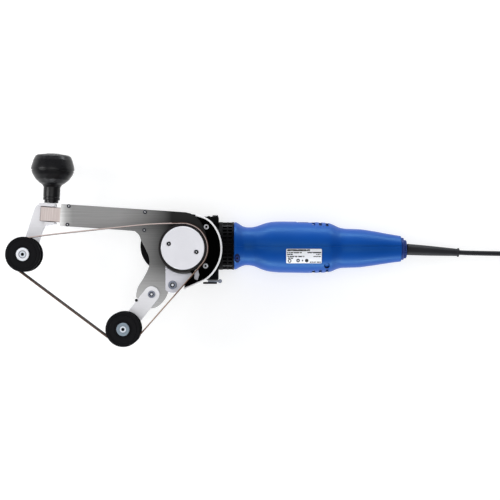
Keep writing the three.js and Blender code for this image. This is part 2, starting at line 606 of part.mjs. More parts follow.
// plug beside the coil: tapered tail, round-ended body, two pins
const PLUG_Y = cy - 52;
const PLUG_Z = 14.5;
const PLUG_X1 = cx - 34;          // free end of the tail
const PLUG_X0 = PLUG_X1 - 36;     // tail meets body
const plugTail = at(turnedX([[0, 0], [7, 0], [4.9, 33], [4.9, 36], [0, 36]], 16), PLUG_X0, PLUG_Y, PLUG_Z);
const plugBody = plate([
  ...arc(PLUG_X0 - 12, PLUG_Y, 13, -90, 90, 8),
  [PLUG_X0 - 36, PLUG_Y + 18.4], [PLUG_X0 - 38, PLUG_Y + 18.4], [PLUG_X0 - 38, PLUG_Y - 18.4], [PLUG_X0 - 36, PLUG_Y - 18.4],
], 0.6, 28.4);
put('mains_plug', solid(plugBody, {
  add: [
    plugTail,
    at(cylX(2.4, PLUG_X0 - 57, PLUG_X0 - 30, 12), 0, PLUG_Y + 9.5, PLUG_Z),
    at(cylX(2.4, PLUG_X0 - 57, PLUG_X0 - 30, 12), 0, PLUG_Y - 9.5, PLUG_Z),
  ],
}), BLACK());

export default group;
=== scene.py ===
import math

import bmesh
import bpy
import numpy as np
from mathutils import Matrix, Vector
from mathutils.geometry import tessellate_polygon


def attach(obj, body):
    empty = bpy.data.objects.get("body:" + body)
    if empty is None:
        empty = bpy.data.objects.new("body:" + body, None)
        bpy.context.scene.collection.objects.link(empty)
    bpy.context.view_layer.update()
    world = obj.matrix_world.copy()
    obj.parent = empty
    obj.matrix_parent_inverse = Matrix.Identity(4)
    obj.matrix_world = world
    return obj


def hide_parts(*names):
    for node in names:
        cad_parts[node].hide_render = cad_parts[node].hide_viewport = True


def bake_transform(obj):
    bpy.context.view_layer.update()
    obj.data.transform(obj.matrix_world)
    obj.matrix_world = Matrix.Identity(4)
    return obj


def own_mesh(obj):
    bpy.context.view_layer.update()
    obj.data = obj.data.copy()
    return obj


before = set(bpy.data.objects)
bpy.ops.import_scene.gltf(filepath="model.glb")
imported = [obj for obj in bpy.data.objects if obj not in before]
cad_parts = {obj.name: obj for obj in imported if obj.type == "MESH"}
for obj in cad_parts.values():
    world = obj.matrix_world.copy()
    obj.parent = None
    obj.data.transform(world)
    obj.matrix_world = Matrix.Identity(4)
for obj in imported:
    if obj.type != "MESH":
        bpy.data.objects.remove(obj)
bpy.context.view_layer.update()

MM = 0.001
ROOT = "grinder_body"
AXIS_Z = 40.0
BELT_Z0, BELT_Z1, BELT_T = 96.0, 126.0, 1.6
WHEEL_R, ROLLER_R, FLANGE_R = 36.45, 23.0, 26.6
FRONT = (-240.0, -9.5)
LOWER = (-89.4, -122.1)
PIVOT = (-48.7, -70.4)
ARM_ORIGIN, ARM_TILT = (-178.0, 49.8), -3.9
SPLIT_Y = 2.45


def rgb(r, g, b):
    f = lambda v: (v / 255 / 12.92) if v / 255 <= 0.04045 else ((v / 255 + 0.055) / 1.055) ** 2.4
    return (f(r), f(g), f(b), 1.0)


# ------------------------------------------------------------------ camera
cam_data = bpy.data.cameras.new("camera")
cam_data.lens = 120
cam_data.sensor_width = 36
cam_data.clip_start = 0.05
cam_data.clip_end = 20
camera = bpy.data.objects.new("camera", cam_data)
camera.location = (0.1011, -0.003, 2.629)
bpy.context.scene.collection.objects.link(camera)
bpy.context.scene.camera = camera


# --------------------------------------------------------------- materials
class Mat:
    def __init__(self, name, color, rough, metal=0.0, **sockets):
        self.m = bpy.data.materials.new(name)
        self.m.use_nodes = True
        self.nt = self.m.node_tree
        self.b = self.nt.nodes["Principled BSDF"]
        self.b.inputs["Base Color"].default_value = color
        self.b.inputs["Roughness"].default_value = rough
        self.b.inputs["Metallic"].default_value = metal
        for k, v in sockets.items():
            self.b.inputs[k.replace("_", " ")].default_value = v
        self.color, self.rough = color, rough
        self.tc = self.nt.nodes.new("ShaderNodeTexCoord")
        self.height = []

    def new(self, kind, inputs=None, **props):
        n = self.nt.nodes.new(kind)
        for k, v in props.items():
            setattr(n, k, v)
        for k, v in (inputs or {}).items():
            if hasattr(v, "is_output") or isinstance(v, bpy.types.NodeSocket):
                self.nt.links.new(v, n.inputs[k])
            else:
                n.inputs[k].default_value = v
        return n

    def coords(self, scale=(1, 1, 1), rotation=(0, 0, 0)):
        n = self.new("ShaderNodeMapping", {"Vector": self.tc.outputs["Object"]})
        n.inputs["Scale"].default_value = scale
        n.inputs["Rotation"].default_value = rotation
        return n.outputs["Vector"]

    def noise(self, scale, detail=3.0, vector=None, rough=0.5):
        n = self.new("ShaderNodeTexNoise", {"Vector": vector or self.tc.outputs["Object"], "Scale": scale,
                                            "Detail": detail, "Roughness": rough})
        return n.outputs["Fac"]

    def remap(self, fac, lo, hi, a=0.3, b=0.7):
        n = self.new("ShaderNodeMapRange", {"Value": fac, "From Min": a, "From Max": b, "To Min": lo, "To Max": hi})
        return n.outputs["Result"]

    def mix(self, fac, a, b):
        n = self.nt.nodes.new("ShaderNodeMix")
        n.data_type = "RGBA"
        for i, v in ((0, fac), (6, a), (7, b)):
            if isinstance(v, bpy.types.NodeSocket):
                self.nt.links.new(v, n.inputs[i])
            else:
                n.inputs[i].default_value = v
        return n.outputs[2]

    def math(self, op, a, b=0.0):
        n = self.nt.nodes.new("ShaderNodeMath")
        n.operation = op
        for i, v in ((0, a), (1, b)):
            if isinstance(v, bpy.types.NodeSocket):
                self.nt.links.new(v, n.inputs[i])
            else:
                n.inputs[i].default_value = v
        return n.outputs[0]

    def paint(self, socket):
        self.nt.links.new(socket, self.b.inputs["Base Color"])

    def shine(self, socket):
        self.nt.links.new(socket, self.b.inputs["Roughness"])

    def bump(self, socket, strength, distance):
        n = self.new("ShaderNodeBump", {"Height": socket, "Strength": strength, "Distance": distance})
        if self.height:
            self.nt.links.new(self.height[-1].outputs["Normal"], n.inputs["Normal"])
        self.height.append(n)
        self.nt.links.new(n.outputs["Normal"], self.b.inputs["Normal"])


def shade(c, k):
    return (min(c[0] * k, 1), min(c[1] * k, 1), min(c[2] * k, 1), 1.0)


def plastic(name, color, rough=0.42, grain=900, bump=0.12, vary=0.10, **kw):
    m = Mat(name, color, rough, 0.0, **kw)
    soft = m.noise(9, 2)
    fine = m.noise(grain, 2)
    smudge = m.noise(38, 5, rough=0.6)
    m.paint(m.mix(m.remap(soft, 0, 1), shade(color, 1 - vary), shade(color, 1 + vary)))
    m.shine(m.math("ADD", m.remap(smudge, rough - 0.05, rough + 0.06), m.remap(fine, -0.02, 0.03)))
    m.bump(fine, bump, 0.00012)
    return m.m


def brushed(name, color, rough=0.32, along=0.0, coarse=1.0, vary=0.14, metal=1.0, bump=0.10):
    m = Mat(name, color, rough, metal)
    lines = m.noise(1.0, 4, m.coords((14 * coarse, 620 * coarse, 620 * coarse), (0, 0, along)), 0.65)
    fine = m.noise(1.0, 2, m.coords((60, 2600, 2600), (0, 0, along)), 0.6)
    cloud = m.noise(11, 4)
    c = m.mix(m.remap(lines, 0, 1), shade(color, 1 - vary), shade(color, 1 + vary))
    m.paint(m.mix(m.remap(cloud, 0, 0.5), c, shade(color, 0.82)))
    m.shine(m.math("ADD", m.remap(lines, rough - 0.05, rough + 0.09), m.remap(cloud, -0.03, 0.05)))
    m.bump(fine, bump, 0.00010)
    m.bump(lines, bump, 0.00008)
    return m.m


def turned_finish(name, color, rough=0.3, metal=1.0, freq=1500.0, vary=0.10, bump=0.15, axis="Z", **kw):
    m = Mat(name, color, rough, metal, **kw)
    sep = m.new("ShaderNodeSeparateXYZ", {"Vector": m.tc.outputs["Object"]})
    a, b = {"Z": ("X", "Y"), "X": ("Y", "Z"), "Y": ("X", "Z")}[axis]
    r = m.math("SQRT", m.math("ADD", m.math("POWER", m.math("ABSOLUTE", sep.outputs[a]), 2.0),
                              m.math("POWER", m.math("ABSOLUTE", sep.outputs[b]), 2.0)))
    n1 = m.nt.nodes.new("ShaderNodeTexNoise")
    n1.noise_dimensions = "1D"
    m.nt.links.new(r, n1.inputs["W"])
    n1.inputs["Scale"].default_value = freq
    n1.inputs["Detail"].default_value = 3
    rings = n1.outputs["Fac"]
    cloud = m.noise(26, 4)
    c = m.mix(m.remap(rings, 0, 1), shade(color, 1 - vary), shade(color, 1 + vary))
    m.paint(m.mix(m.remap(cloud, 0, 0.35), c, shade(color, 0.85)))
    m.shine(m.math("ADD", m.remap(rings, rough - 0.05, rough + 0.07), m.remap(cloud, -0.03, 0.04)))
    m.bump(rings, bump, 0.00012)
    return m.m


def casting(name, color, rough=0.5, metal=0.0, **kw):
    m = Mat(name, color, rough, metal, **kw)
    pit = m.noise(520, 4, rough=0.6)
    wave = m.noise(60, 3)
    dust = m.noise(17, 5, rough=0.65)
    m.paint(m.mix(m.remap(dust, 0, 0.35, 0.45, 0.75), color, shade(color, 2.1)))
    m.shine(m.math("ADD", m.remap(pit, rough - 0.08, rough + 0.08), m.remap(wave, -0.04, 0.04)))
    m.bump(pit, 0.35, 0.00018)
    m.bump(wave, 0.12, 0.0004)
    return m.m


def rubber(name, color, rough=0.72, scale=1400, **kw):
    m = Mat(name, color, rough, **kw)
    fine = m.noise(scale, 3, rough=0.6)
    bloom = m.noise(45, 4)
    m.paint(m.mix(m.remap(bloom, 0, 0.5), color, shade(color, 1.6)))
    m.shine(m.remap(fine, rough - 0.10, rough + 0.08))
    m.bump(fine, 0.3, 0.00010)
    return m.m


def abrasive_face(name):
    base = rgb(66, 40, 33)
    m = Mat(name, base, 0.92)
    vor = m.new("ShaderNodeTexVoronoi", {"Vector": m.tc.outputs["Object"], "Scale": 2100.0})
    vor.feature = "F1"
    grain = vor.outputs["Distance"]
    speck = m.noise(1500, 3, rough=0.7)
    wear = m.noise(30, 3)
    c = m.mix(m.remap(speck, 0, 1, 0.35, 0.65), rgb(42, 25, 21), rgb(104, 68, 55))
    m.paint(m.mix(m.remap(wear, 0, 0.35), c, rgb(70, 56, 50)))
    m.bump(grain, 0.7, 0.0003)
    m.shine(m.remap(speck, 0.8, 0.98))
    return m.m


def cloth_back(name, color, scale=1700.0):
    m = Mat(name, color, 0.85)
    w1 = m.new("ShaderNodeTexWave", {"Vector": m.coords((1, 1, 1)), "Scale": scale / 6.28, "Distortion": 0.4})
    w1.bands_direction = "Z"
    w2 = m.new("ShaderNodeTexWave", {"Vector": m.coords((1, 1, 1)), "Scale": scale / 6.28, "Distortion": 0.4})
    w2.bands_direction = "X"
    weave = m.math("MULTIPLY", w1.outputs["Fac"], w2.outputs["Fac"])
    stain = m.noise(40, 4)
    c = m.mix(weave, shade(color, 0.75), shade(color, 1.15))
    m.paint(m.mix(m.remap(stain, 0, 0.4), c, shade(color, 0.55)))
    m.bump(weave, 0.4, 0.0001)
    return m.m


def belt_edge(name):
    """Cut edge of the belt: pinkish along the top, painted shade along the lower run, darkest on the left run and in a
    painted shadow where it meets the lower roller.
    """
    m = Mat(name, rgb(205, 186, 180), 0.8)
    sep = m.new("ShaderNodeSeparateXYZ", {"Vector": m.tc.outputs["Object"]})
    low = m.remap(sep.outputs["Y"], 1.0, 0.0, -0.034, 0.004)
    left = m.remap(sep.outputs["X"], 1.0, 0.0, -0.095, -0.060)
    threads = m.noise(1500, 3, rough=0.6)
    top_tone = m.mix(m.remap(threads, 0, 1), rgb(190, 168, 162), rgb(222, 208, 204))
    shaded_run = m.mix(m.remap(threads, 0, 1), rgb(60, 40, 30), rgb(124, 90, 66))
    mid = m.mix(m.remap(threads, 0, 1), rgb(140, 112, 94), rgb(204, 180, 164))
    # painted shadow where the belt meets the lower roller
    roller_shadow = m.remap(sep.outputs["Y"], 1.0, 0.0, -0.124, -0.108)
    m.paint(m.mix(low, top_tone, m.mix(m.math("MAXIMUM", left, roller_shadow), mid, shaded_run)))
    m.bump(threads, 0.4, 0.0001)
    return m.m


def bar_steel(name):
    """Ground bar, warm grey, with a dark line of painted shadow round its seat."""
    m = Mat(name, rgb(206, 192, 188), 0.40, 0.55)
    sep = m.new("ShaderNodeSeparateXYZ", {"Vector": m.tc.outputs["Object"]})
    lines = m.noise(1.0, 4, m.coords((620, 14, 14)), 0.65)
    tint = m.mix(m.remap(lines, 0, 1), rgb(190, 176, 172), rgb(216, 206, 203))
    # painted shadow along both sides and the left end, where the bar sits in its pocket
    rim = m.math("MAXIMUM", m.remap(m.math("ABSOLUTE", sep.outputs["Y"]), 0.0, 1.0, 0.0102, 0.0108),
                 m.remap(sep.outputs["X"], 1.0, 0.0, -0.0414, -0.0404))
    m.paint(m.mix(m.math("MULTIPLY", rim, 0.75), tint, rgb(92, 84, 84)))
    m.bump(lines, 0.08, 0.0001)
    return m.m


def label_print(name):
    """Light film with abstract rows of dashes and two plain dots, nothing to read."""
    film = rgb(236, 238, 243)
    m = Mat(name, film, 0.38)
    sep = m.new("ShaderNodeSeparateXYZ", {"Vector": m.tc.outputs["Object"]})
    x, y = sep.outputs["X"], sep.outputs["Y"]
    comb = m.nt.nodes.new("ShaderNodeCombineXYZ")
    m.nt.links.new(m.math("MULTIPLY", x, 560.0), comb.inputs["X"])
    m.nt.links.new(m.math("MULTIPLY", y, 330.0), comb.inputs["Y"])
    words = m.noise(1.0, 1, comb.outputs["Vector"])
    ink = None

    def band(v, centre, half):
        return m.math("LESS_THAN", m.math("ABSOLUTE", m.math("SUBTRACT", v, centre * MM)), half * MM)
    for x0, x1, yc, hh, gate in ((-26.2, 9.0, 9.0, 1.4, 0.38), (-25.8, -3.5, 5.4, 0.95, 0.43), (4.9, 26.2, 5.4, 0.95, 0.40), (-25.8, -17.0, 2.6, 1.0, 0.38),
                                 (18.6, 26.2, 2.6, 0.8, 0.44), (-25.8, 0.5, -0.6, 1.0, 0.43), (14.6, 25.8, -0.6, 0.8, 0.44), (-24.6, -16.8, -3.4, 1.0, 0.38), (9.0, 26.2, -9.3, 0.9, 0.41)):
        q = m.math("MULTIPLY", m.math("MULTIPLY", band(x, (x0 + x1) / 2, (x1 - x0) / 2), band(y, yc, hh)), m.math("GREATER_THAN", words, gate))
        ink = q if ink is None else m.math("MAXIMUM", ink, q)
    for dx, dy, r0, r1 in ((4.2, -6.9, 0.0, 2.7), (-9.0, -6.8, 0.9, 2.7), (-2.2, -6.9, 0.0, 1.2), (-22.0, -7.3, 1.5, 2.8)):
        d = m.math("SQRT", m.math("ADD", m.math("POWER", m.math("ABSOLUTE", m.math("SUBTRACT", x, dx * MM)), 2.0),
                                  m.math("POWER", m.math("ABSOLUTE", m.math("SUBTRACT", y, dy * MM)), 2.0)))
        ink = m.math("MAXIMUM", ink, m.math("MULTIPLY", m.math("LESS_THAN", d, r1 * MM), m.math("GREATER_THAN", d, r0 * MM - 0.00001)))
    edge = m.math("MAXIMUM", m.math("GREATER_THAN", m.math("ABSOLUTE", x), 0.0271),
                  m.math("GREATER_THAN", m.math("ABSOLUTE", y), 0.0110))
    tint = m.mix(m.remap(m.noise(60, 3), 0, 1), film, shade(film, 0.93))
    m.paint(m.mix(ink, m.mix(edge, tint, rgb(70, 78, 104)), rgb(6, 7, 11)))
    m.shine(m.remap(m.noise(150, 3), 0.32, 0.46))
    return m.m


def plate_steel(name):
    """Brushed stainless sheet with painted reflection and painted shade: bright at its free end, dark near the wheel,
    lighter towards its lower edge.
    """
    m = Mat(name, rgb(150, 150, 156), 0.40, 0.75)
    sep = m.new("ShaderNodeSeparateXYZ", {"Vector": m.tc.outputs["Object"]})
    wob = m.math("MULTIPLY", m.math("SUBTRACT", m.noise(9, 3), 0.5), 0.012)
    along = m.new("ShaderNodeMapRange", {"Value": m.math("ADD", sep.outputs["X"], wob), "From Min": -0.190, "From Max": 0.010,
                                         "To Min": 0.0, "To Max": 1.0}).outputs["Result"]
    ramp = m.new("ShaderNodeValToRGB", {"Fac": along})
    e = ramp.color_ramp.elements
    while len(e) > 2:
        e.remove(e[-1])
    stops = [(0.0, PLATE_PAINTED_LIGHT_TONES[0]), (0.05, PLATE_PAINTED_LIGHT_TONES[1]), (0.10, PLATE_PAINTED_LIGHT_TONES[2]), (0.45, PLATE_PAINTED_LIGHT_TONES[3]), (0.62, PLATE_PAINTED_LIGHT_TONES[4]),
             (0.74, PLATE_PAINTED_LIGHT_TONES[5]), (0.80, PLATE_PAINTED_LIGHT_TONES[6]), (0.86, PLATE_PAINTED_LIGHT_TONES[7])]
    e[0].position, e[0].color = stops[0][0], (stops[0][1],) * 3 + (1,)
    e[1].position, e[1].color = stops[-1][0], (stops[-1][1],) * 3 + (1,)
    for pos, v in stops[1:-1]:
        q = e.new(pos)
        q.color = (v, v, v, 1)
    low = m.remap(m.math("ADD", sep.outputs["Y"], wob), 1.0, 0.0, -0.100, -0.024)
    tone = m.mix(low, ramp.outputs["Color"], (PLATE_PAINTED_LIGHT_TONES[8],) * 3 + (1,))
    lines = m.noise(1.0, 4, m.coords((14, 620, 620), (0, 0, 0.07)), 0.65)
    fine = m.noise(1.0, 2, m.coords((60, 2600, 2600), (0, 0, 0.07)), 0.6)
    streak = m.remap(lines, 0.86, 1.12)
    grey = m.new("ShaderNodeCombineXYZ")
    for ax in "XYZ":
        m.nt.links.new(streak, grey.inputs[ax])
    mul = m.nt.nodes.new("ShaderNodeMix")
    mul.data_type = "RGBA"
    mul.blend_type = "MULTIPLY"
    mul.inputs[0].default_value = 1.0
    m.nt.links.new(tone, mul.inputs[6])
    m.nt.links.new(grey.outputs[0], mul.inputs[7])
    m.paint(mul.outputs[2])
    m.shine(m.remap(lines, 0.36, 0.48))
    m.bump(fine, 0.08, 0.0001)
    return m.m


# grey levels of the painted reflection and shade along the frame plate; the last is its lighter lower edge
PLATE_PAINTED_LIGHT_TONES = (0.80, 0.42, 0.27, 0.27, 0.20, 0.12, 0.075, 0.012, 0.56)

BLUE = plastic("blue_plastic", rgb(2, 65, 152), 0.38, grain=1100, bump=0.07, vary=0.05, Specular_IOR_Level=0.36, Specular_Tint=(0.30, 0.85, 1.0, 1.0))
DARK_BLUE = plastic("dark_blue_plastic", rgb(5, 44, 116), 0.42, grain=1100, Specular_IOR_Level=0.3)
BLACK = plastic("black_plastic", rgb(12, 12, 15), 0.34, grain=1000, vary=0.2, Specular_IOR_Level=0.26)
KNOB = plastic("knob_plastic", rgb(9, 9, 13), 0.28, grain=900, vary=0.2, bump=0.06, Specular_IOR_Level=0.30)
ROLLER = turned_finish("roller_plastic", rgb(11, 11, 15), 0.42, 0.0, freq=700, vary=0.35, bump=0.35, Specular_IOR_Level=0.1)
PLUG = plastic("plug_rubber", rgb(20, 20, 22), 0.55, grain=900, bump=0.25, vary=0.2, Specular_IOR_Level=0.25)
CAST = casting("black_casting", rgb(7, 7, 9), 0.45, Specular_IOR_Level=0.06)
GUARD = casting("guard_paint", rgb(2, 2, 3), 0.42, Specular_IOR_Level=0.01)
RIM_HIGHLIGHT = brushed("guard_rim", rgb(250, 250, 252), 0.5, metal=0.1, vary=0.02)
MACHINED = turned_finish("machined_steel", rgb(176, 176, 180), 0.28, freq=1200)
LAMINATION = brushed("lamination", rgb(120, 120, 124), 0.45, along=math.pi / 2)
STAINLESS = brushed("stainless", rgb(150, 150, 156), 0.36, coarse=0.8, vary=0.16)
PLATE_STEEL = plate_steel("plate_steel")
BRACKET_STEEL = brushed("bracket_steel", rgb(212, 212, 220), 0.42, along=1.2, vary=0.06, metal=0.7)
BAR_STEEL = bar_steel("bar_steel")
NECK_CAST = casting("neck_casting", rgb(4, 4, 6), 0.5, Specular_IOR_Level=0.05)
NECK_HIGHLIGHT = brushed("neck_highlight", rgb(96, 97, 100), 0.4, metal=0.3)
MID_STEEL = turned_finish("mid_steel", rgb(128, 134, 148), 0.40, 0.6, freq=1500, vary=0.08)
SCREW_BLUE_LIT = turned_finish("screw_blue_painted_light", rgb(20, 62, 150), 0.4, 0.1, freq=1500, vary=0.08, Specular_IOR_Level=0.3)
SCREW_BLUE_SHADED = turned_finish("screw_blue_painted_shade", rgb(9, 28, 76), 0.4, 0.2, freq=1500, vary=0.08, Specular_IOR_Level=0.2)
ALU = brushed("aluminium", rgb(230, 230, 234), 0.42, vary=0.05, metal=0.7)
BRIGHT = turned_finish("bright_disc", rgb(232, 232, 238), 0.45, 0.5, freq=900, vary=0.03, bump=0.10)
ZINC = turned_finish("zinc_plated", rgb(205, 211, 220), 0.30, 0.9, freq=1600, vary=0.06)
BRIGHT_ZINC = turned_finish("bright_zinc", rgb(238, 240, 246), 0.42, 0.5, freq=1600, vary=0.04)
CAP_SHADE = turned_finish("cap_shade", rgb(134, 148, 160), 0.4, 0.55, freq=1400, vary=0.12)
HUB_FACE = turned_finish("hub_face", rgb(214, 221, 230), 0.42, 0.6, freq=1100, vary=0.12)
GUN_STEEL = turned_finish("gun_steel", rgb(58, 61, 70), 0.40, 0.7, freq=1500, vary=0.10)
CAP_GREY = turned_finish("cap_grey", rgb(150, 152, 158), 0.45, 0.6, freq=1500, vary=0.06)
TYRE = rubber("wheel_rubber", rgb(26, 23, 24), 0.75, Specular_IOR_Level=0.25)
ABRASIVE = abrasive_face("abrasive")
CLOTH = cloth_back("belt_backing", rgb(46, 32, 27))
BELT_EDGE = belt_edge("belt_edge")
LABEL = label_print("label_film")
COPPER = turned_finish("copper", rgb(176, 100, 58), 0.35, 1.0, freq=900, axis="X")
BRASS = turned_finish("brass", rgb(190, 158, 92), 0.3, 1.0, freq=900, axis="X")
CORD = rubber("cord_rubber", rgb(24, 24, 28), 0.55, 1100, Specular_IOR_Level=0.25)
TIE = cloth_back("tie_fabric", rgb(30, 30, 33), 2200)
# near-black used as painted shade in recesses, sockets, holes and behind the vent slots, and as the black heads of the
# disc screws
DARK = plastic("recess_dark", rgb(6, 7, 9), 0.6, Specular_IOR_Level=0.1)


# ---------------------------------------------------------------- geometry
def make(name, verts, faces, mats, body=ROOT, rep=(), slot=None, origin=(0, 0, 0), rot=None,
         sharp=34, ids=None, weighted=True, merge=True, closed=True):
    """Mesh object from millimetre coordinates, local to origin."""
    me = bpy.data.meshes.new(name)
    me.from_pydata([(v[0] * MM, v[1] * MM, v[2] * MM) for v in verts], [], [list(f) for f in faces])
    if not isinstance(mats, (list, tuple)):
        mats = [mats]
    for m in mats:
        me.materials.append(m)
    if ids is not None:
        me.polygons.foreach_set("material_index", ids)
    bm = bmesh.new()
    bm.from_mesh(me)
    if merge:
        bmesh.ops.remove_doubles(bm, verts=bm.verts, dist=1e-7)
        bmesh.ops.dissolve_degenerate(bm, dist=1e-8, edges=bm.edges)
    if closed:
        bmesh.ops.recalc_face_normals(bm, faces=bm.faces)
    bm.to_mesh(me)
    bm.free()
    me.polygons.foreach_set("use_smooth", [True] * len(me.polygons))
    me.set_sharp_from_angle(angle=math.radians(sharp))
    ob = bpy.data.objects.new(name, me)
    bpy.context.scene.collection.objects.link(ob)
    mw = Matrix.Translation(Vector(origin) * MM)
    if rot is not None:
        mw = mw @ rot.to_4x4()
    ob.matrix_world = mw
    if weighted:
        w = ob.modifiers.new("normals", "WEIGHTED_NORMAL")
        w.keep_sharp = True
        w.weight = 60
    if body:
        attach(ob, body)
    if rep:
        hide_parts(*([rep] if isinstance(rep, str) else rep))
    return ob


def fillet(points, r=0.5, n=4, closed=True):
    out = []
    m = len(points)
    for i, q in enumerate(points):
        rr = q[2] if len(q) > 2 else r
        p = Vector(q[:2])
        if (not closed and i in (0, m - 1)) or rr <= 0:
            out.append((p.x, p.y))
            continue
        u = Vector(points[i - 1][:2]) - p
        v = Vector(points[(i + 1) % m][:2]) - p
        lu, lv = u.length, v.length
        if lu < 1e-6 or lv < 1e-6:
            out.append((p.x, p.y))
            continue
        u /= lu
        v /= lv
        ang = u.angle(v)
        if ang > math.radians(170):
            out.append((p.x, p.y))
            continue
        t = min(rr / math.tan(ang / 2), 0.45 * lu, 0.45 * lv)
        re = t * math.tan(ang / 2)
        c = p + (u + v).normalized() * (re / math.sin(ang / 2))
        s, e = p + u * t - c, p + v * t - c
        a0, a1 = math.atan2(s.y, s.x), math.atan2(e.y, e.x)
        d = (a1 - a0 + math.pi) % (2 * math.pi) - math.pi
        for k in range(n + 1):
            a = a0 + d * k / n
            out.append((c.x + re * math.cos(a), c.y + re * math.sin(a)))
    return out


def arc(cx, cy, r, a0, a1, n):
    return [(cx + r * math.cos(math.radians(a0 + (a1 - a0) * i / n)),
             cy + r * math.sin(math.radians(a0 + (a1 - a0) * i / n))) for i in range(n + 1)]


def catmull(points, per=6):
    """Centripetal Catmull-Rom through the points, ends included."""
    P = [Vector(p) for p in points]
    P = [P[0] * 2 - P[1]] + P + [P[-1] * 2 - P[-2]]
    out = []
    for i in range(1, len(P) - 2):
        p0, p1, p2, p3 = P[i - 1:i + 3]
        t0 = 0
        t1 = t0 + max((p1 - p0).length, 1e-6) ** 0.5
        t2 = t1 + max((p2 - p1).length, 1e-6) ** 0.5
        t3 = t2 + max((p3 - p2).length, 1e-6) ** 0.5
        for k in range(per):
            t = t1 + (t2 - t1) * k / per
            a1 = p0 * ((t1 - t) / (t1 - t0)) + p1 * ((t - t0) / (t1 - t0))
            a2 = p1 * ((t2 - t) / (t2 - t1)) + p2 * ((t - t1) / (t2 - t1))
            a3 = p2 * ((t3 - t) / (t3 - t2)) + p3 * ((t - t2) / (t3 - t2))
            b1 = a1 * ((t2 - t) / (t2 - t0)) + a2 * ((t - t0) / (t2 - t0))
            b2 = a2 * ((t3 - t) / (t3 - t1)) + a3 * ((t - t1) / (t3 - t1))
            out.append(tuple(b1 * ((t2 - t) / (t2 - t1)) + b2 * ((t - t1) / (t2 - t1))))
    out.append(tuple(P[-2]))
    return out


def polar(levels, n=96, closed=False, axis="Z"):
    """Loops round an axis. A level is (radius, height); either may be a function of the angle.
    A radius of 0 is a centre point."""
    verts, rings = [], []
    for r, h in levels:
        if not callable(r) and r == 0:
            verts.append((0, 0, h))
            rings.append([len(verts) - 1])
            continue
        idx = []
        for k in range(n):
            a = 2 * math.pi * k / n
            rr = r(a) if callable(r) else r
            hh = h(a) if callable(h) else h
            verts.append((rr * math.cos(a), rr * math.sin(a), hh))
            idx.append(len(verts) - 1)
        rings.append(idx)
    faces = []
    pairs = list(zip(rings[:-1], rings[1:]))
    if closed:
        pairs.append((rings[-1], rings[0]))
    for A, B in pairs:
        if len(A) == 1 and len(B) == 1:
            continue
        for k in range(n):
            j = (k + 1) % n
            if len(A) == 1:
                faces.append((A[0], B[j], B[k]))
            elif len(B) == 1:
                faces.append((A[k], A[j], B[0]))
            else:
                faces.append((A[k], A[j], B[j], B[k]))
    if axis == "X":
        verts = [(z, x, y) for x, y, z in verts]
    return verts, faces


def lathe(profile, n=96, r=0.5, closed=False, axis="Z", seg=4):
    return polar(fillet(profile, r, seg, closed), n, closed, axis)


def inset(loop, d):
    if abs(d) < 1e-9:
        return list(loop)
    m = len(loop)
    out = []
    for i in range(m):
        a, p, b = Vector(loop[i - 1]), Vector(loop[i]), Vector(loop[(i + 1) % m])
        e0, e1 = p - a, b - p
        if e0.length < 1e-9 or e1.length < 1e-9:
            out.append((p.x, p.y))
            continue
        e0.normalize()
        e1.normalize()
        n0, n1 = Vector((-e0.y, e0.x)), Vector((-e1.y, e1.x))
        k = max(1 + n0.dot(n1), 0.35)
        q = p + (n0 + n1) * (d / k)
        out.append((q.x, q.y))
    return out


def ccw(loop):
    s = sum(loop[i - 1][0] * loop[i][1] - loop[i][0] * loop[i - 1][1] for i in range(len(loop)))
    return list(loop) if s > 0 else list(reversed(loop))


def rounded(z0, z1, b0, b1=None, n=3):
    """(z, inset) levels of a slab with rounded lower and upper edges."""
    b1 = b0 if b1 is None else b1
    lv = []
    for k in range(n + 1):
        a = math.pi / 2 * k / n
        lv.append((z0 + b0 * (1 - math.sin(a)), b0 * (1 - math.cos(a))))
    lv = list(reversed(lv)) if False else [(z0 + b0 * (1 - math.cos(math.pi / 2 * k / n)), b0 * (1 - math.sin(math.pi / 2 * k / n))) for k in range(n + 1)]
    lv += [(z1 - b1 * (1 - math.cos(math.pi / 2 * k / n)), b1 * (1 - math.sin(math.pi / 2 * k / n))) for k in range(n, -1, -1)]
    return lv


def stack(outline, levels, holes=()):
    """Closed slab: the outline inset at each level, with holes that open by the same amount."""
    outer = ccw(outline)
    inner = [ccw(h) for h in holes]
    verts, faces = [], []
    loops = []
    for z, d in levels:
        row = []
        for j, lp in enumerate([outer] + inner):
            pts = inset(lp, d if j == 0 else -d)
            s = len(verts)
            verts += [(p[0], p[1], z) for p in pts]
            row.append(list(range(s, s + len(pts))))
        loops.append(row)
    for A, B in zip(loops[:-1], loops[1:]):
        for la, lb in zip(A, B):
            m = len(la)
            for k in range(m):
                j = (k + 1) % m
                faces.append((la[k], la[j], lb[j], lb[k]))
    for row in (loops[0], loops[-1]):
        poly = [[Vector(verts[i]) for i in lp] for lp in row]
        flat = [i for lp in row for i in lp]
        for t in tessellate_polygon(poly):
            faces.append(tuple(flat[i] for i in t))
    return verts, faces


def circle(x, y, r, n=40):
    return [(x + r * math.cos(2 * math.pi * k / n), y + r * math.sin(2 * math.pi * k / n)) for k in range(n)]


def move(vf, x=0, y=0, z=0, rot=None):
    v, f = vf
    if rot is not None:
        v = [tuple(rot @ Vector(p)) for p in v]
    return [(p[0] + x, p[1] + y, p[2] + z) for p in v], f


def join(*parts):
    verts, faces = [], []
    for v, f in parts:
        s = len(verts)
        verts += list(v)
        faces += [tuple(i + s for i in q) for q in f]
    return verts, faces


def box(x0, x1, y0, y1, z0, z1, r=0.8, edge=0.6):
    o = fillet([(x0, y0), (x1, y0), (x1, y1), (x0, y1)], r, 4)
    return stack(o, rounded(z0, z1, edge))


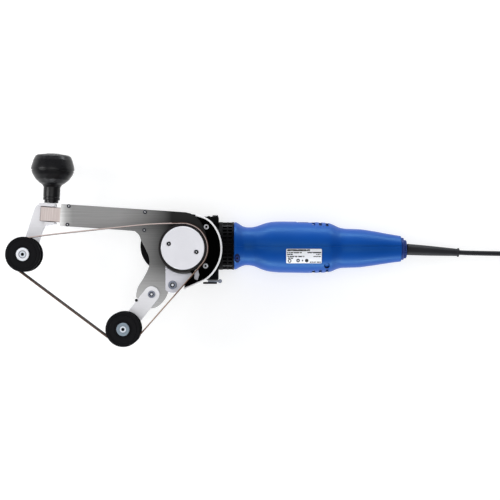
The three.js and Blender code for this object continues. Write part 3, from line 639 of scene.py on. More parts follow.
def to_bm(vf):
    bm = bmesh.new()
    vs = [bm.verts.new((p[0] * MM, p[1] * MM, p[2] * MM)) for p in vf[0]]
    for f in vf[1]:
        if len(set(f)) > 2:
            try:
                bm.faces.new([vs[i] for i in f])
            except ValueError:
                pass
    bmesh.ops.remove_doubles(bm, verts=bm.verts, dist=1e-7)
    bmesh.ops.recalc_face_normals(bm, faces=bm.faces)
    return bm


def temp(vf, name="tmp"):
    me = bpy.data.meshes.new(name)
    bm = to_bm(vf)
    bm.to_mesh(me)
    bm.free()
    ob = bpy.data.objects.new(name, me)
    bpy.context.scene.collection.objects.link(ob)
    return ob


def carve(vf, steps):
    """Exact booleans, one after another; steps is a list of (operation, verts and faces)."""
    ob = temp(vf, "carve_base")
    others = []
    for op, part in steps:
        t = temp(part, "carve_tool")
        t.hide_render = True
        others.append(t)
        m = ob.modifiers.new("b", "BOOLEAN")
        m.operation = op
        m.solver = "EXACT"
        m.object = t
    dg = bpy.context.evaluated_depsgraph_get()
    me = bpy.data.meshes.new_from_object(ob.evaluated_get(dg))
    verts = [tuple(v.co / MM) for v in me.vertices]
    faces = [tuple(p.vertices) for p in me.polygons]
    for o in others + [ob]:
        d = o.data
        bpy.data.objects.remove(o, do_unlink=True)
        bpy.data.meshes.remove(d)
    bpy.data.meshes.remove(me)
    return verts, faces


ROT_X = Matrix.Rotation(math.radians(90), 3, "Y")      # local +Z becomes +X


def about_x(vf):
    v, f = vf
    return [(p[2], p[1], -p[0]) for p in v], f


def about_y(vf):
    v, f = vf
    return [(p[0], p[2], -p[1]) for p in v], f


# ============================================================== mains lead
CORD_POINTS = [
    (426.7, -6.9, 36.4), (436, -7.4, 35.9), (450, -7.8, 34.4), (468, -8.2, 30.6), (490, -8.6, 23.6),
    (512, -9.0, 15.9), (534, -9.3, 9.4), (556, -9.6, 5.7), (578, -9.9, 4.8), (600, -10.0, 5.2), (622.0, -10.0, 5.6),
]
CX, CY = 655.0, -62.0
CORD_D = 7.5


def ramp(t, t0, t1):
    u = min(max((t - t0) / (t1 - t0), 0), 1)
    return 0.6 * u + 0.4 * u * u * (3 - 2 * u)


def coil_point(T):
    r = 53.75 - 7.5 * min(T, 3.0)
    z = 5.25
    z += 7.5 * (ramp(T, 3.0, 3.25) + ramp(T, 4.0, 4.25) + ramp(T, 5.0, 5.25))
    r += 7.5 * ramp(T, 5.7, 6.0)
    z -= 7.5 * (ramp(T, 6.42, 6.7) + ramp(T, 7.42, 7.7))
    r += 7.5 * ramp(T, 7.8, 8.1)
    z += 7.5 * (ramp(T, 8.5, 8.78) + ramp(T, 9.5, 9.78))
    r += 7.5 * ramp(T, 10.05, 10.35)
    z -= 7.5 * (ramp(T, 10.75, 11.03) + ramp(T, 11.75, 12.03))
    a = math.pi / 2 - 2 * math.pi * T
    return (CX + r * math.cos(a), CY + r * math.sin(a), z)


route = [tuple(p) for p in catmull(CORD_POINTS[:-1] + [(622, -9.4, 5.4), (638, -8.5, 5.3)], 3)]
turns = 12.5
route += [coil_point(k / 36) for k in range(1, int(turns * 36) + 1)]
route += [(644, -115.7, 12.95), (633, -115.2, 13.7), (622, -114.4, 14.35), (612, -114.0, 14.5), (604, -114.0, 14.5)]
cord_length = sum((Vector(b) - Vector(a)).length for a, b in zip(route[:-1], route[1:])) * MM

curve = bpy.data.curves.new("mains_lead", "CURVE")
curve.dimensions = "3D"
curve.bevel_depth = CORD_D / 2 * MM
curve.bevel_resolution = 7
curve.use_fill_caps = True
sp = curve.splines.new("POLY")
sp.points.add(len(route) - 1)
for p, q in zip(sp.points, route):
    p.co = (q[0] * MM, q[1] * MM, q[2] * MM, 1)
sp.use_smooth = True
curve.materials.append(CORD)
lead = bpy.data.objects.new("mains_lead", curve)
bpy.context.scene.collection.objects.link(lead)
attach(lead, ROOT)
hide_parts("mains_cord", "cord_coil")

# hook-and-loop tie round the bundle of turns
tie_y = 6.0
tx0, tx1, tz0, tz1 = CX + 23.2, CX + 59.6, 0.25, 33.0
o_out = fillet([(tx0, tz0), (tx1, tz0), (tx1, tz1), (tx0, tz1)], 7.5, 8)
o_in = fillet([(tx0 + 0.9, tz0 + 0.9), (tx1 - 0.9, tz0 + 0.9), (tx1 - 0.9, tz1 - 0.9), (tx0 + 0.9, tz1 - 0.9)], 6.6, 8)
tv, tf = stack([(x, z) for x, z in o_out], rounded(-tie_y, tie_y, 0.25, n=2), [[(x, z) for x, z in o_in]])
flap = stack(fillet([(tx0 + 8, tz1 - 0.05), (tx1 - 9, tz1 - 0.05), (tx1 - 9, tz1 + 0.85), (tx0 + 8, tz1 + 0.85)], 0.3, 2),
             rounded(-tie_y + 0.4, tie_y - 0.4, 0.25, n=2))
tv, tf = join((tv, tf), flap)
tie = make("cord_tie_band", [(x, CY + z, y) for x, y, z in tv], tf, TIE, rep="cord_tie", slot="tie_fabric")

# plug: moulded body with a waist and finger ridges, ribbed tail, two round pins
PY, PZ, PX0 = CY - 52, 14.5, CX - 70
outline = fillet(arc(PX0 - 12, PY, 13, -75, 75, 16) + [(PX0 - 20, PY + 15.2, 3), (PX0 - 30, PY + 16.2, 3), (PX0 - 36, PY + 18.4, 1),
                 (PX0 - 38, PY + 18.4, 1), (PX0 - 38, PY - 18.4, 1), (PX0 - 36, PY - 18.4, 1), (PX0 - 30, PY - 16.2, 3), (PX0 - 20, PY - 15.2, 3)], 0.0, 4)
pl_body = stack(outline, rounded(0.6, 28.4, 3.2, n=6))
ribs = []
for k in range(4):
    x = PX0 - 14 - 4.2 * k
    ribs.append(box(x - 0.8, x + 0.8, PY - 9, PY + 9, 0.62, 28.9, 0.7, 0.4))
tailp = [(0, 0), (7.4, 0), (7.2, 3)]
for k in range(6):
    x = 5 + 4.3 * k
    rr = 6.8 - 0.30 * k
    tailp += [(rr, x, 0.3), (rr, x + 2.3, 0.3), (rr - 1.1, x + 2.6, 0.3), (rr - 1.1, x + 4.0, 0.3)]
tailp += [(4.9, 33), (4.9, 36), (0, 36)]
tail = move(about_x(lathe(tailp, 40, 0.5, seg=2)), PX0, PY, PZ)
plug = make("plug_body", *join(pl_body, tail, *ribs), PLUG, rep="mains_plug", slot="plug_rubber")
pins = []
for s in (-1, 1):
    pins.append(move(about_x(lathe([(0, 0), (2.4, 0, 1.6), (2.4, 19.5), (0, 19.5)], 28, 0.4)), PX0 - 57, PY + 9.5 * s, PZ))
plug_pins = make("plug_pins", *join(*pins), ZINC, slot="zinc_plated")

# strain relief: long tapered sleeve with an end collar
prof = [(0, 0), (8.8, 0, 0.4)]
for k in range(1, 13):
    h = 76.5 * k / 12
    prof.append((8.8 - 0.9 * (h / 30) if h < 30 else 7.9 - 2.2 * (h - 30) / 49, h, 0))
prof += [(5.65, 78.4, 0.5), (6.9, 78.9, 0.8), (6.9, 81.2, 0.8), (3.9, 81.2, 0.3), (3.9, 79.5), (0, 79.5)]
relief_rot = Matrix.Rotation(math.radians(-3.4), 3, "Z") @ Matrix.Rotation(math.radians(2.5), 3, "Y")
make("strain_relief_sleeve", *about_x(lathe(prof, 56, 0.5, seg=4)), CORD, rep="strain_relief", slot="cord_rubber",
     origin=(345.0, -2.1, AXIS_Z), rot=relief_rot)

# =========================================================== motor housing
TOP = [(76, 40.6), (77, 40.5), (80.9, 40), (85.6, 36.6), (90.2, 33.5), (96.4, 32.3), (104.2, 32.4), (110.4, 33.5), (116.6, 35.8),
       (124.4, 38.6), (132.2, 40.5), (143, 41.2), (153.9, 41.3), (163.2, 41.2), (174.1, 41.0), (183.4, 41.0), (195.1, 40.6),
       (215, 39.7), (223.7, 38.9), (229, 36.9), (234.7, 34.1), (240.3, 31.5), (248.7, 30.1), (272, 29.2), (280.5, 28.1), (296.4, 25.7), (312.2, 22.6), (336, 18.6)]
BOT = [(76.2, -33.8), (80.9, -32.5), (87.1, -28.6), (93.3, -26.6), (101.1, -26.8), (108.9, -28.6), (116.6, -32.2), (126, -35.6),
       (135.3, -37.2), (147.7, -38.1), (191.2, -38.7), (215, -38.3), (226.9, -36.9), (234.7, -33.0), (241.7, -31), (272, -30), (296.4, -26.6),
       (320.1, -22.9), (336, -21)]


def smooth_profile(pts):
    xs = np.arange(70.0, 340.5, 0.5)
    ys = np.interp(xs, [p[0] for p in pts], [p[1] for p in pts])
    k = np.exp(-0.5 * (np.arange(-12, 13) * 0.5 / 2.2) ** 2)
    k /= k.sum()
    pad = np.pad(ys, 12, mode="edge")
    sm = np.convolve(pad, k, mode="valid")
    w = np.clip((xs - 77) / 6, 0, 1) * np.clip((335.5 - xs) / 6, 0, 1)
    return xs, ys * (1 - w) + sm * w


TX, TY = smooth_profile(TOP)
BX, BY = smooth_profile(BOT)


def section(x):
    t, b = float(np.interp(x, TX, TY)), float(np.interp(x, BX, BY))
    h = (t - b) / 2
    return (t + b) / 2, h, min(h, 39.85)


def skin_z(x, y, off=0.0):
    c, hy, hz = section(x)
    u = min(abs(y - c) / (hy + off), 0.999)
    return AXIS_Z + (hz + off) * math.sqrt(1 - u * u)


rows = [(76.6, -1.5), (76.66, -1.05), (76.85, -0.62), (77.2, -0.28), (77.7, -0.08)]
x = 78.3
while x < 334.0:
    rows.append((x, 0.0))
    x += 1.15 if x < 135 or 222 < x < 250 else 2.2
rows += [(334.3, 0.0), (334.8, -0.12), (335.2, -0.4), (335.42, -0.85), (335.5, -1.4)]


def half_shell(upper, wall=3.0, nt=84):
    ys = SPLIT_Y + (0.03 if upper else -0.03)
    edge = [(0.0, 0.0)]
    verts, outer, inner = [], [], []

    def ring(x, d, rad=None):
        c, hy, hz = section(x)
        hy, hz = (rad, rad) if rad is not None else (hy + d, hz + d)
        te = math.acos(max(-1, min(1, (ys - c) / hy)))
        idx = []
        for j in range(nt + 1):
            u = j / nt
            if upper:
                th = -te + 2 * te * u
            else:
                th = te + (2 * math.pi - 2 * te) * u
            # the seam edge rolls in a little
            q = min(u, 1 - u) * nt
            s = {0: 0.42, 1: 0.10}.get(int(q), 0.0) if rad is None and d > -2 else 0.0
            yy, zz = c + (hy - s) * math.cos(th), AXIS_Z + (hz - s) * math.sin(th)
            if int(q) == 0:
                yy = ys
            verts.append((x, yy, zz))
            idx.append(len(verts) - 1)
        return idx

    for x, d in rows:
        outer.append(ring(x, d))
        inner.append(ring(min(x, 332.5), -wall))
    outer.append(ring(335.5, 0, 6.0))
    inner.append(ring(332.5, 0, 6.0))
    faces = []
    for i in range(len(outer) - 1):
        for j in range(nt):
            faces.append((outer[i][j], outer[i + 1][j], outer[i + 1][j + 1], outer[i][j + 1]))
            faces.append((inner[i][j], inner[i][j + 1], inner[i + 1][j + 1], inner[i + 1][j]))
        for j in (0, nt):
            faces.append((outer[i][j], inner[i][j], inner[i + 1][j], outer[i + 1][j]))
    for i in (0, len(outer) - 1):
        for j in range(nt):
            faces.append((outer[i][j], outer[i][j + 1], inner[i][j + 1], inner[i][j]))
    return verts, faces


SCREW_FRONT, SCREW_REAR = (81.4, -15.6), (219.5, -27.2)
REC_FRONT = (81.4, -15.6, 4.2, 7.0, 61.0)
REC_REAR = (219.5, -27.2, 4.4, 4.4, 55.0)


def oval(cx, cy, rx, ry, z0, z1, n=40):
    return move(polar([(0, z0), (lambda a: rx * ry / math.hypot(ry * math.cos(a), rx * math.sin(a)), z0),
                       (lambda a: rx * ry / math.hypot(ry * math.cos(a), rx * math.sin(a)), z1), (0, z1)], n), cx, cy)


def cup(cx, cy, rx, ry, floor, n=40):
    f = lambda k: (lambda a: (rx + k) * (ry + k) / math.hypot((ry + k) * math.cos(a), (rx + k) * math.sin(a)))

    def top(k, drop):
        return lambda a: skin_z(cx + f(k)(a) * math.cos(a), cy + f(k)(a) * math.sin(a)) - drop
    return move(polar([(0, floor - 2), (f(1.6), floor - 2), (f(1.6), top(1.6, 1.4)), (f(0.02), top(0.02, 1.0)), (f(0.02), floor), (0, floor)], n), cx, cy)


slots_up, slots_dn = [], []
for vx in (199.4, 209.8, 220.2):
    slots_up.append(box(vx - 2.2, vx + 2.2, 30.5, 60, 33, 59.6, 1.2, 1.2))
    slots_dn.append(box(vx - 2.2, vx + 2.2, -60, -30, 33, 58.0, 1.2, 1.2))
switch_slot = box(173.6, 197.0, 30, 60, 30.6, 49.4, 1.5, 1.0)
upper = carve(half_shell(True), [("DIFFERENCE", join(*slots_up, switch_slot))])
lower = carve(half_shell(False), [("DIFFERENCE", join(*slots_dn)), ("DIFFERENCE", join(oval(*REC_FRONT[:4], 50, 90), oval(*REC_REAR[:4], 50, 90)))])
make("housing_half_upper", *upper, BLUE, rep="housing_shell_upper", slot="blue_plastic", sharp=42)
# the recess walls and floors take the darker blue as painted shade
cup_ids = [0] * 120 + [1] * 40 + [2] * 40
make("housing_half_lower", *join(lower, cup(*REC_FRONT), cup(*REC_REAR)), [BLUE, DARK_BLUE, DARK_BLUE], rep="housing_shell_lower",
     slot="blue_plastic", sharp=42, ids=[0] * len(lower[1]) + cup_ids + cup_ids)


def liner(side, nx=13, nt=14):
    """Dark sheet just inside the vent slots, painted shade for the dark inside of the housing."""
    verts, faces, idx = [], [], {}
    for o, off in enumerate((-3.3, -4.2)):
        for i in range(nx):
            x = 197.6 + 26.6 * i / (nx - 1)
            c, hy, hz = section(x)
            for j in range(nt):
                th = math.radians(-26 + (60 if side > 0 else 48) * j / (nt - 1))
                idx[o, i, j] = len(verts)
                verts.append((x, c + side * (hy + off) * math.cos(th), AXIS_Z + (hz + off) * math.sin(th)))
    for o in (0, 1):
        for i in range(nx - 1):
            for j in range(nt - 1):
                faces.append((idx[o, i, j], idx[o, i + 1, j], idx[o, i + 1, j + 1], idx[o, i, j + 1]))
    for i in range(nx - 1):
        for j in (0, nt - 1):
            faces.append((idx[0, i, j], idx[0, i + 1, j], idx[1, i + 1, j], idx[1, i, j]))
    for j in range(nt - 1):
        for i in (0, nx - 1):
            faces.append((idx[0, i, j], idx[0, i, j + 1], idx[1, i, j + 1], idx[1, i, j]))
    return verts, faces


make("vent_shade_sheets", *join(liner(1), liner(-1)), DARK, slot="black_plastic")


def screw_head(R, h, sock, depth, drive="hex", n=60, z0=0.0, shank=None):
    """Head with a recess: hexagon, cross or star; the underside sits at z0."""
    if drive == "hex":
        f = lambda a: sock * math.cos(math.pi / 6) / math.cos((a % (math.pi / 3)) - math.pi / 6)
    elif drive == "cross":
        def f(a):
            b = (a + math.pi / 4) % (math.pi / 2) - math.pi / 4
            w = 0.26 * sock
            return min(sock, w / max(abs(math.sin(b)), 1e-6)) if abs(b) < math.pi / 4 else sock
        g = f
        f = lambda a: max(g(a), 0.40 * sock)
    else:
        f = lambda a: sock * (0.86 + 0.14 * math.cos(6 * a))
    lv = []
    if shank:
        lv += [(0, z0 - shank[1]), (shank[0], z0 - shank[1]), (shank[0], z0)]
    else:
        lv += [(0, z0)]
    lv += [(R - 0.15, z0), (R, z0 + 0.15), (R, z0 + h * 0.72), (R - 0.06 * h, z0 + h * 0.88), (R - 0.16 * h, z0 + h * 0.97), (R - 0.28 * h, z0 + h)]
    lv += [(lambda a: f(a) * 1.06, z0 + h), (f, z0 + h - 0.12 * depth), (lambda a: f(a) * 0.96, z0 + h - depth),
           (lambda a: f(a) * 0.52, z0 + h - depth), (0, z0 + h - depth * 1.15)]
    return polar(lv, n)




def screw_piece(name, node, origin, R, h, sock, depth, drive="hex", mats=None, body=ROOT, shank=None, n=60, slot="zinc_plated"):
    """Screw whose recess has its own materials: the second colours the recess wall and outer floor, the third the
    centre; dark ones there are painted shade, bright ones a painted highlight.
    """
    v, f = screw_head(R, h, sock, depth, drive, n, 0.0, shank)
    return make(name, v, f, list(mats), body=body, rep=node, slot=slot, origin=origin,
                ids=[0] * (len(f) - 3 * n) + [1] * (2 * n) + [2] * n)


# the two housing screws are alike: the front head takes a lighter blue as painted light, the rear head a darker blue as
# painted shade; their recesses are painted shade in dark blue and near-black
screw_piece("housing_screw_front_head", "housing_screw_front", (*SCREW_FRONT, 62.4), 3.9, 2.4, 2.3, 1.7, "star", (SCREW_BLUE_LIT, DARK_BLUE, DARK), shank=(2, 1))
screw_piece("housing_screw_rear_head", "housing_screw_rear", (*SCREW_REAR, 56.4), 3.9, 2.4, 2.3, 1.7, "star", (SCREW_BLUE_SHADED, DARK, DARK), shank=(2, 1))

# rating plate: thin film on the skin, rounded corners, abstract print
lx0, lx1, ly0, ly1 = 156.2, 211.4, -23.6, -1.1
LW, LH = 40, 16
lc = ((lx0 + lx1) / 2, (ly0 + ly1) / 2)
verts, faces = [], []
grid = {0: [], 1: []}
for side, off in ((0, 0.18), (1, 0.62)):
    for j in range(LH + 1):
        y = ly0 + (ly1 - ly0) * j / LH
        d = min(y - ly0, ly1 - y)
        cut = 1.6 - math.sqrt(max(1.6 ** 2 - (1.6 - d) ** 2, 0)) if d < 1.6 else 0.0
        line = []
        for i in range(LW + 1):
            x = lx0 + cut + (lx1 - lx0 - 2 * cut) * i / LW
            verts.append((x - lc[0], y - lc[1], skin_z(x, y, off)))
            line.append(len(verts) - 1)
        grid[side].append(line)
for j in range(LH):
    for i in range(LW):
        for s in (0, 1):
            g = grid[s]
            faces.append((g[j][i], g[j][i + 1], g[j + 1][i + 1], g[j + 1][i]))
edge0 = grid[0][0] + [r[-1] for r in grid[0][1:]] + grid[0][-1][-2::-1] + [r[0] for r in grid[0][-2:0:-1]]
edge1 = grid[1][0] + [r[-1] for r in grid[1][1:]] + grid[1][-1][-2::-1] + [r[0] for r in grid[1][-2:0:-1]]
for k in range(len(edge0)):
    j = (k + 1) % len(edge0)
    faces.append((edge0[k], edge0[j], edge1[j], edge1[k]))
make("rating_film", verts, faces, LABEL, rep="rating_plate", slot="label_film", origin=(lc[0], lc[1], 0))

# sliding switch with finger ridges, in its recess
sw = [move(about_y(stack(fillet([(174, -48.6), (191.6, -48.6), (191.6, -31.4), (174, -31.4)], 2.2, 5), rounded(35.7, 39.9, 0.8))), 0, 0, 0)]
for k in range(6):
    xx = 176 + 2.6 * k
    sw.append(move(about_y(stack(fillet([(xx, -47.4), (xx + 1.3, -47.4), (xx + 1.3, -32.6), (xx, -32.6)], 0.5, 3), rounded(39.2, 40.55, 0.4)))))
make("switch_slider", *join(*sw), BLACK, body="slide_switch", rep="slide_switch", slot="black_plastic")

# rear ring with a knurled collar
kn = lambda r, d, cnt: (lambda a: r - d * (0.5 + 0.5 * math.cos(cnt * a)) ** 2)
ringA = move(polar([(5.3, 335.8), (16.6, 335.8), (17.3, 336.4), (17.3, 338.6), (16.7, 339.4), (14.0, 339.4), (14.0, 338.0), (5.3, 338.0)], 96, True, "X"), 0, -1.2, AXIS_Z)
ringB = move(polar([(8.9, 337.5), (kn(14.0, 0.0, 30), 337.5), (kn(14.3, 1.0, 30), 339.6), (kn(14.3, 1.0, 30), 342.6), (kn(13.5, 0.6, 30), 343.6),
                    (12.4, 343.9), (9.6, 343.9), (8.9, 343.4)], 240, True, "X"), 0, -1.85, AXIS_Z)
make("rear_ring", *join(ringA, ringB), DARK_BLUE, rep="rear_cap", slot="dark_blue_plastic")

# ============================================================ gear head
HEAD = arc(-26.8, 3.2, 41.4, 84, 276, 60) + [(30, -36.4), (46, -35.6), (52.6, -34.1, 1.2), (52.6, 40.5, 1.2), (46, 42.0), (20, 43.6)]
HEAD = fillet(HEAD, 0.0, 3)
head = carve(stack(HEAD, rounded(4.3, 58, 0.8, 3.6, n=5)), [
    ("UNION", lathe([(0, 40), (31.5, 40), (31.5, 61.5), (28.6, 64.5, 2), (28, 70), (28, 84.1), (0, 84.1)], 120, 1.0)),
    ("UNION", join(move(lathe([(0, 50), (6.6, 50), (6, 66), (6, 80), (0, 80)], 40, 0.6), 34.4, 32.4),
                   move(lathe([(0, 50), (6.6, 50), (6, 66), (6, 80), (0, 80)], 40, 0.6), 33.2, -27.4))),
    ("UNION", box(22.2, 52.6, 36, 48.6, 28, 58, 2.0, 1.4)),
    ("DIFFERENCE", join(lathe([(0, -2), (30, -2), (30, 52), (16.4, 52), (16.4, 74), (9, 74), (9, 90), (0, 90)], 72, 0.0))),
    ("DIFFERENCE", about_x(lathe([(0, 20), (9, 20), (9, 40.5), (11.4, 40.5), (11.4, 60), (0, 60)], 48, 0.0)) if False else
        move(about_x(lathe([(0, 20), (9, 20), (9, 40.5), (11.4, 40.5), (11.4, 60), (0, 60)], 48, 0.0)), 0, 0, AXIS_Z)),
    ("DIFFERENCE", box(42.4, 52.2, 40.4, 60, 32.6, 48.4, 0.6, 0.3)),
])
head = join(head, box(31, 52.6, -49.2, -30, 44, 73.7, 2.0, 1.4), box(30.6, 52.2, -40.5, -33.5, 30, 56, 1.6, 1.0),
            move(lathe([(0, 60), (3.4, 60), (3.4, 75.6), (2.9, 76.2), (0, 76.2)], 36, 0.4), 40.5, -41.5),
            move(lathe([(0, 60), (2.2, 60), (2.2, 75.0), (0, 75.0)], 30, 0.4), 47.8, -44.5),
            move(lathe([(0, 50), (3.6, 50), (3.6, 59.6), (3.0, 60.2), (0, 60.2)], 36, 0.4), 37.5, 46.0),
            move(lathe([(0, 50), (2.8, 50), (2.8, 59.4), (0, 59.4)], 36, 0.4), 48.6, 46.6),
            box(44.5, 52.4, 27.5, 33.5, 56, 66.5, 1.0, 0.8), box(45.5, 52.4, -26, -20, 56, 66.5, 1.0, 0.8))
make("gear_head_casting", *head, CAST, rep="gear_head_housing", slot="black_casting", sharp=38)
cover = [(p[0] * 0.985, p[1] * 0.985) for p in HEAD]
make("back_cover_plate", *join(stack(cover, rounded(0, 4, 1.2, 0.3), [circle(0, 0, 11.3, 40)]),
     lathe([(11.35, 0.6), (14.5, 0.6), (14.5, 14), (11.35, 14)], 60, 0.3, True),
     lathe([(0, 0.8), (11.4, 0.8), (11.4, 3.0), (0, 3.0)], 60, 0.3)), CAST, rep="gear_head_back_cover", slot="black_casting")
bolt = []
for bx, by in ((-52, 26), (-52, -20), (-12, 38), (-12, -31.5), (40, 34), (40, -28)):
    bolt.append(move(screw_head(3.4, 0.9, 1.7, 0.7, "cross"), bx, by, 0, Matrix.Rotation(math.pi, 3, "X")))
make("back_cover_screws", *[(v, f) for v, f in [join(*[([(p[0], p[1], p[2] + 0.95) for p in b[0]], b[1]) for b in bolt])]][0], ZINC, slot="zinc_plated")

# neck ring between gear head and motor body: two bands, louvres between them
fin = lambda hi, lo, n: (lambda a: hi if ((a * n / (2 * math.pi)) % 1) < 0.42 else lo)
neck = polar([(30.5, 52.9), (36.4, 52.9), (37.15, 53.6), (37.15, 58.6), (36.7, 59.2),
              (fin(36.5, 34.2, 34), 59.6), (fin(36.5, 34.2, 34), 65.4), (36.9, 65.9), (36.9, 67.4),
              (fin(36.5, 34.2, 34), 67.9), (fin(36.5, 34.2, 34), 73.3), (36.8, 73.8), (37.15, 74.3), (37.15, 75.7), (36.5, 76.3), (30.5, 76.3)], 408, True, "X")
make("neck_louvre_ring", *move(neck, 0, 3.35, AXIS_Z), NECK_CAST, rep="motor_neck_ring", slot="black_casting", sharp=30)

# grey strips along the neck ring at plus and minus 56 degrees are painted highlight lines on its glossy bands
highlight_strips = []
for tilt in (56.3, -56.3):
    b = box(54.0, 75.4, -0.5, 0.5, 36.3, 37.1, 0.3, 0.3)
    highlight_strips.append(move(b, 0, 3.35, AXIS_Z, Matrix.Rotation(math.radians(-tilt), 3, "X")))
make("neck_highlight_strips", *join(*highlight_strips), NECK_HIGHLIGHT, slot="black_casting")

lock = [about_y(stack(fillet([(42.7, -48), (51.9, -48), (51.9, -33), (42.7, -33)], 1.6, 5), rounded(43.8, 50.3, 0.8)))]
for xx in (43.5, 45.6, 47.7, 49.8):
    lock.append(about_y(stack(fillet([(xx, -47), (xx + 1.1, -47), (xx + 1.1, -34), (xx, -34)], 0.4, 3), rounded(49.6, 51.4, 0.4))))
make("lock_button", *join(*lock), BLACK, body="spindle_lock_button", rep="spindle_lock_button", slot="black_plastic")

lever = join(stack(fillet([(36.6, -52.3, 0.6), (55.2, -52.3, 1), (57.2, -51.8, 1), (57.2, -49.6, 1), (36.6, -49.6, 0.6)], 0.6, 4), rounded(58, 73, 0.7)),
             move(lathe([(0, 57.6), (3.1, 57.6), (3.1, 73.4), (0, 73.4)], 40, 0.6), 55.0, -50.9))
make("clamp_lever_strip", *lever, MID_STEEL, body="guard_clamp_lever", rep="guard_clamp_lever", slot="zinc_plated")
make("clamp_lever_pad", *stack(fillet([(29, -54.2, 1.2), (30, -55.2, 1), (50.4, -55.2, 1), (50.4, -52.2, 0.8), (29, -52.2, 0.8)], 0.8, 4), rounded(58, 73, 1.0)),
     BLACK, body="guard_clamp_lever", slot="black_plastic")

# ============================================================== belt guard
GC, GR, GW = (0.3, -0.7), 58.9, 2.2
A0, A1 = 69.5, -55.4


def guard_arc(off, a0, a1, n):
    """The radius shrinks towards the upper end, where the guard meets the frame."""
    out = []
    for i in range(n + 1):
        a = a0 + (a1 - a0) * i / n
        u = min(max((a - 42) / 34, 0), 1)
        r = GR - 4.4 * u * u * (3 - 2 * u) - off
        out.append((GC[0] + r * math.cos(math.radians(a)), GC[1] + r * math.sin(math.radians(a))))
    return out


g_plate = fillet([(2.4, -62.9, 0.4)] + guard_arc(0, A1, A0, 110) + [(6, 53.0, 1), (-8, 53.5, 1)] + arc(0, 0, 28.4, 106.4, -106.4, 80) + [(-8, -32, 0.5), (0.9, -42, 0.5), (0.9, -60.4, 0.3)], 0.0, 3)
g_holes = [circle(34.4, 32.4, 2.3), circle(33.2, -27.4, 2.3)]
wall_out = [(2.4, -62.9)] + guard_arc(0, A1, A0, 130)
wall_in = guard_arc(GW, A0, A1, 130) + [(0.9, -60.4)]
g_wall = stack(wall_out + wall_in, rounded(80.3, 113.6, 0.3, 0.0, n=2))
plate_part = stack(g_plate, rounded(80.3, 82.3, 0.3, n=2), g_holes)
make("guard_shell", *join(plate_part, g_wall), GUARD, rep="belt_guard", slot="guard_paint")
# the near-white edge along the top of the black guard wall is a painted highlight
rim_in = guard_arc(2.7, A0, A1, 130) + [(0.9, -60.4)]
make("guard_rim_edge", *stack([(2.4, -62.9)] + guard_arc(0, A1, A0, 130) + rim_in, rounded(113.62, 116, 0.3, 0.7, n=4)), RIM_HIGHLIGHT, slot="guard_paint")
make("guard_stay_tab", *stack(fillet([(16.6, -33.5), (21.5, -31.6), (23.8, -41), (21.0, -49.6), (15.8, -47.0)], 1.4, 4), rounded(82.4, 84.3, 0.4)),
     BRACKET_STEEL, slot="aluminium")
# the sockets of the guard screws are painted shade in near-black
for nm, (gx, gy) in (("upper", (34.4, 32.4)), ("lower", (33.2, -27.4))):
    screw_piece("guard_screw_%s_head" % nm, "guard_screw_" + nm, (gx, gy, 82.6), 4.1, 2.6, 2.0, 2.0, "hex", (BRIGHT_ZINC, DARK, DARK), shank=(2, 2))

# ============================================================= steel frame
FRAME = [(-187.2, 67.3, 0.8), (-143, 64.5), (-82, 60.4), (-21, 56.3), (3, 54.6)]
FRAME += catmull([(10, 53.0), (17.2, 48.9), (23.3, 43.4), (30.9, 30.6), (35.4, 12.3), (34.5, 0), (31, -12), (23, -25), (12, -32.5)], 6)
FRAME += [(7.5, -42, 1), (-5, -58, 1.5), (-11, -64.5, 1.5), (-19, -65.5, 1), (-23.8, -67.4, 1)]
FRAME += catmull([(-25.2, -71.5), (-28.5, -77.8), (-36, -86.6), (-44, -91.3), (-53, -92.3)], 6)
FRAME += [(-72.9, -74.7, 1)]
FRAME += catmull([(-72.4, -69.2), (-69.8, -59.5), (-62.2, -47.2), (-53.4, -29.5), (-52.2, -21.3), (-53.3, -13.2), (-59.1, 0.1), (-65.2, 12.3), (-68.3, 19.9), (-74.4, 25.6)], 6)
FRAME += [(-82, 26.5), (-143, 30.7), (-189.3, 33.7, 0.8)]
ARM_SCREWS = [(-175.2, 64.0), (-177.3, 35.6), (-59, 54.9), (-60.1, 27.4)]
make("frame_sheet", *stack(fillet(FRAME, 0.0, 5), rounded(84.4, 87.4, 0.35, n=3),
     [circle(0, 0, 21, 72)] + [circle(*p, 1.5, 20) for p in ARM_SCREWS] + [circle(-16.8, -56.2, 2.8, 24), circle(*PIVOT, 4.3, 30)]),
     PLATE_STEEL, rep="frame_plate", slot="stainless")
# the socket walls are painted shade in near-black, the socket centres a painted highlight in bright zinc
for nm, (ax, ay) in zip(("front_upper", "front_lower", "rear_upper", "rear_lower"), ARM_SCREWS):
    screw_piece("arm_screw_%s_head" % nm, "arm_screw_" + nm, (ax, ay, 87.7), 2.9, 1.9, 2.0, 0.8, "star", (GUN_STEEL, DARK, BRIGHT_ZINC), shank=(1.2, 3))

ARM = Matrix.Rotation(math.radians(ARM_TILT), 3, "Z")


def arm_piece(name, vf, mat, body, rep, slot, **kw):
    return make(name, *vf, mat, body=body, rep=rep, slot=slot, origin=(ARM_ORIGIN[0], ARM_ORIGIN[1], 0), rot=ARM, **kw)


def yz_bar(s0, s1, outline, edge, holes=()):
    """outline in (t, z), run from s0 to s1 along the arm."""
    v, f = stack([(p[0], p[1]) for p in outline], rounded(s0, s1, edge), holes)
    return [(p[2], p[0], p[1]) for p in v], f


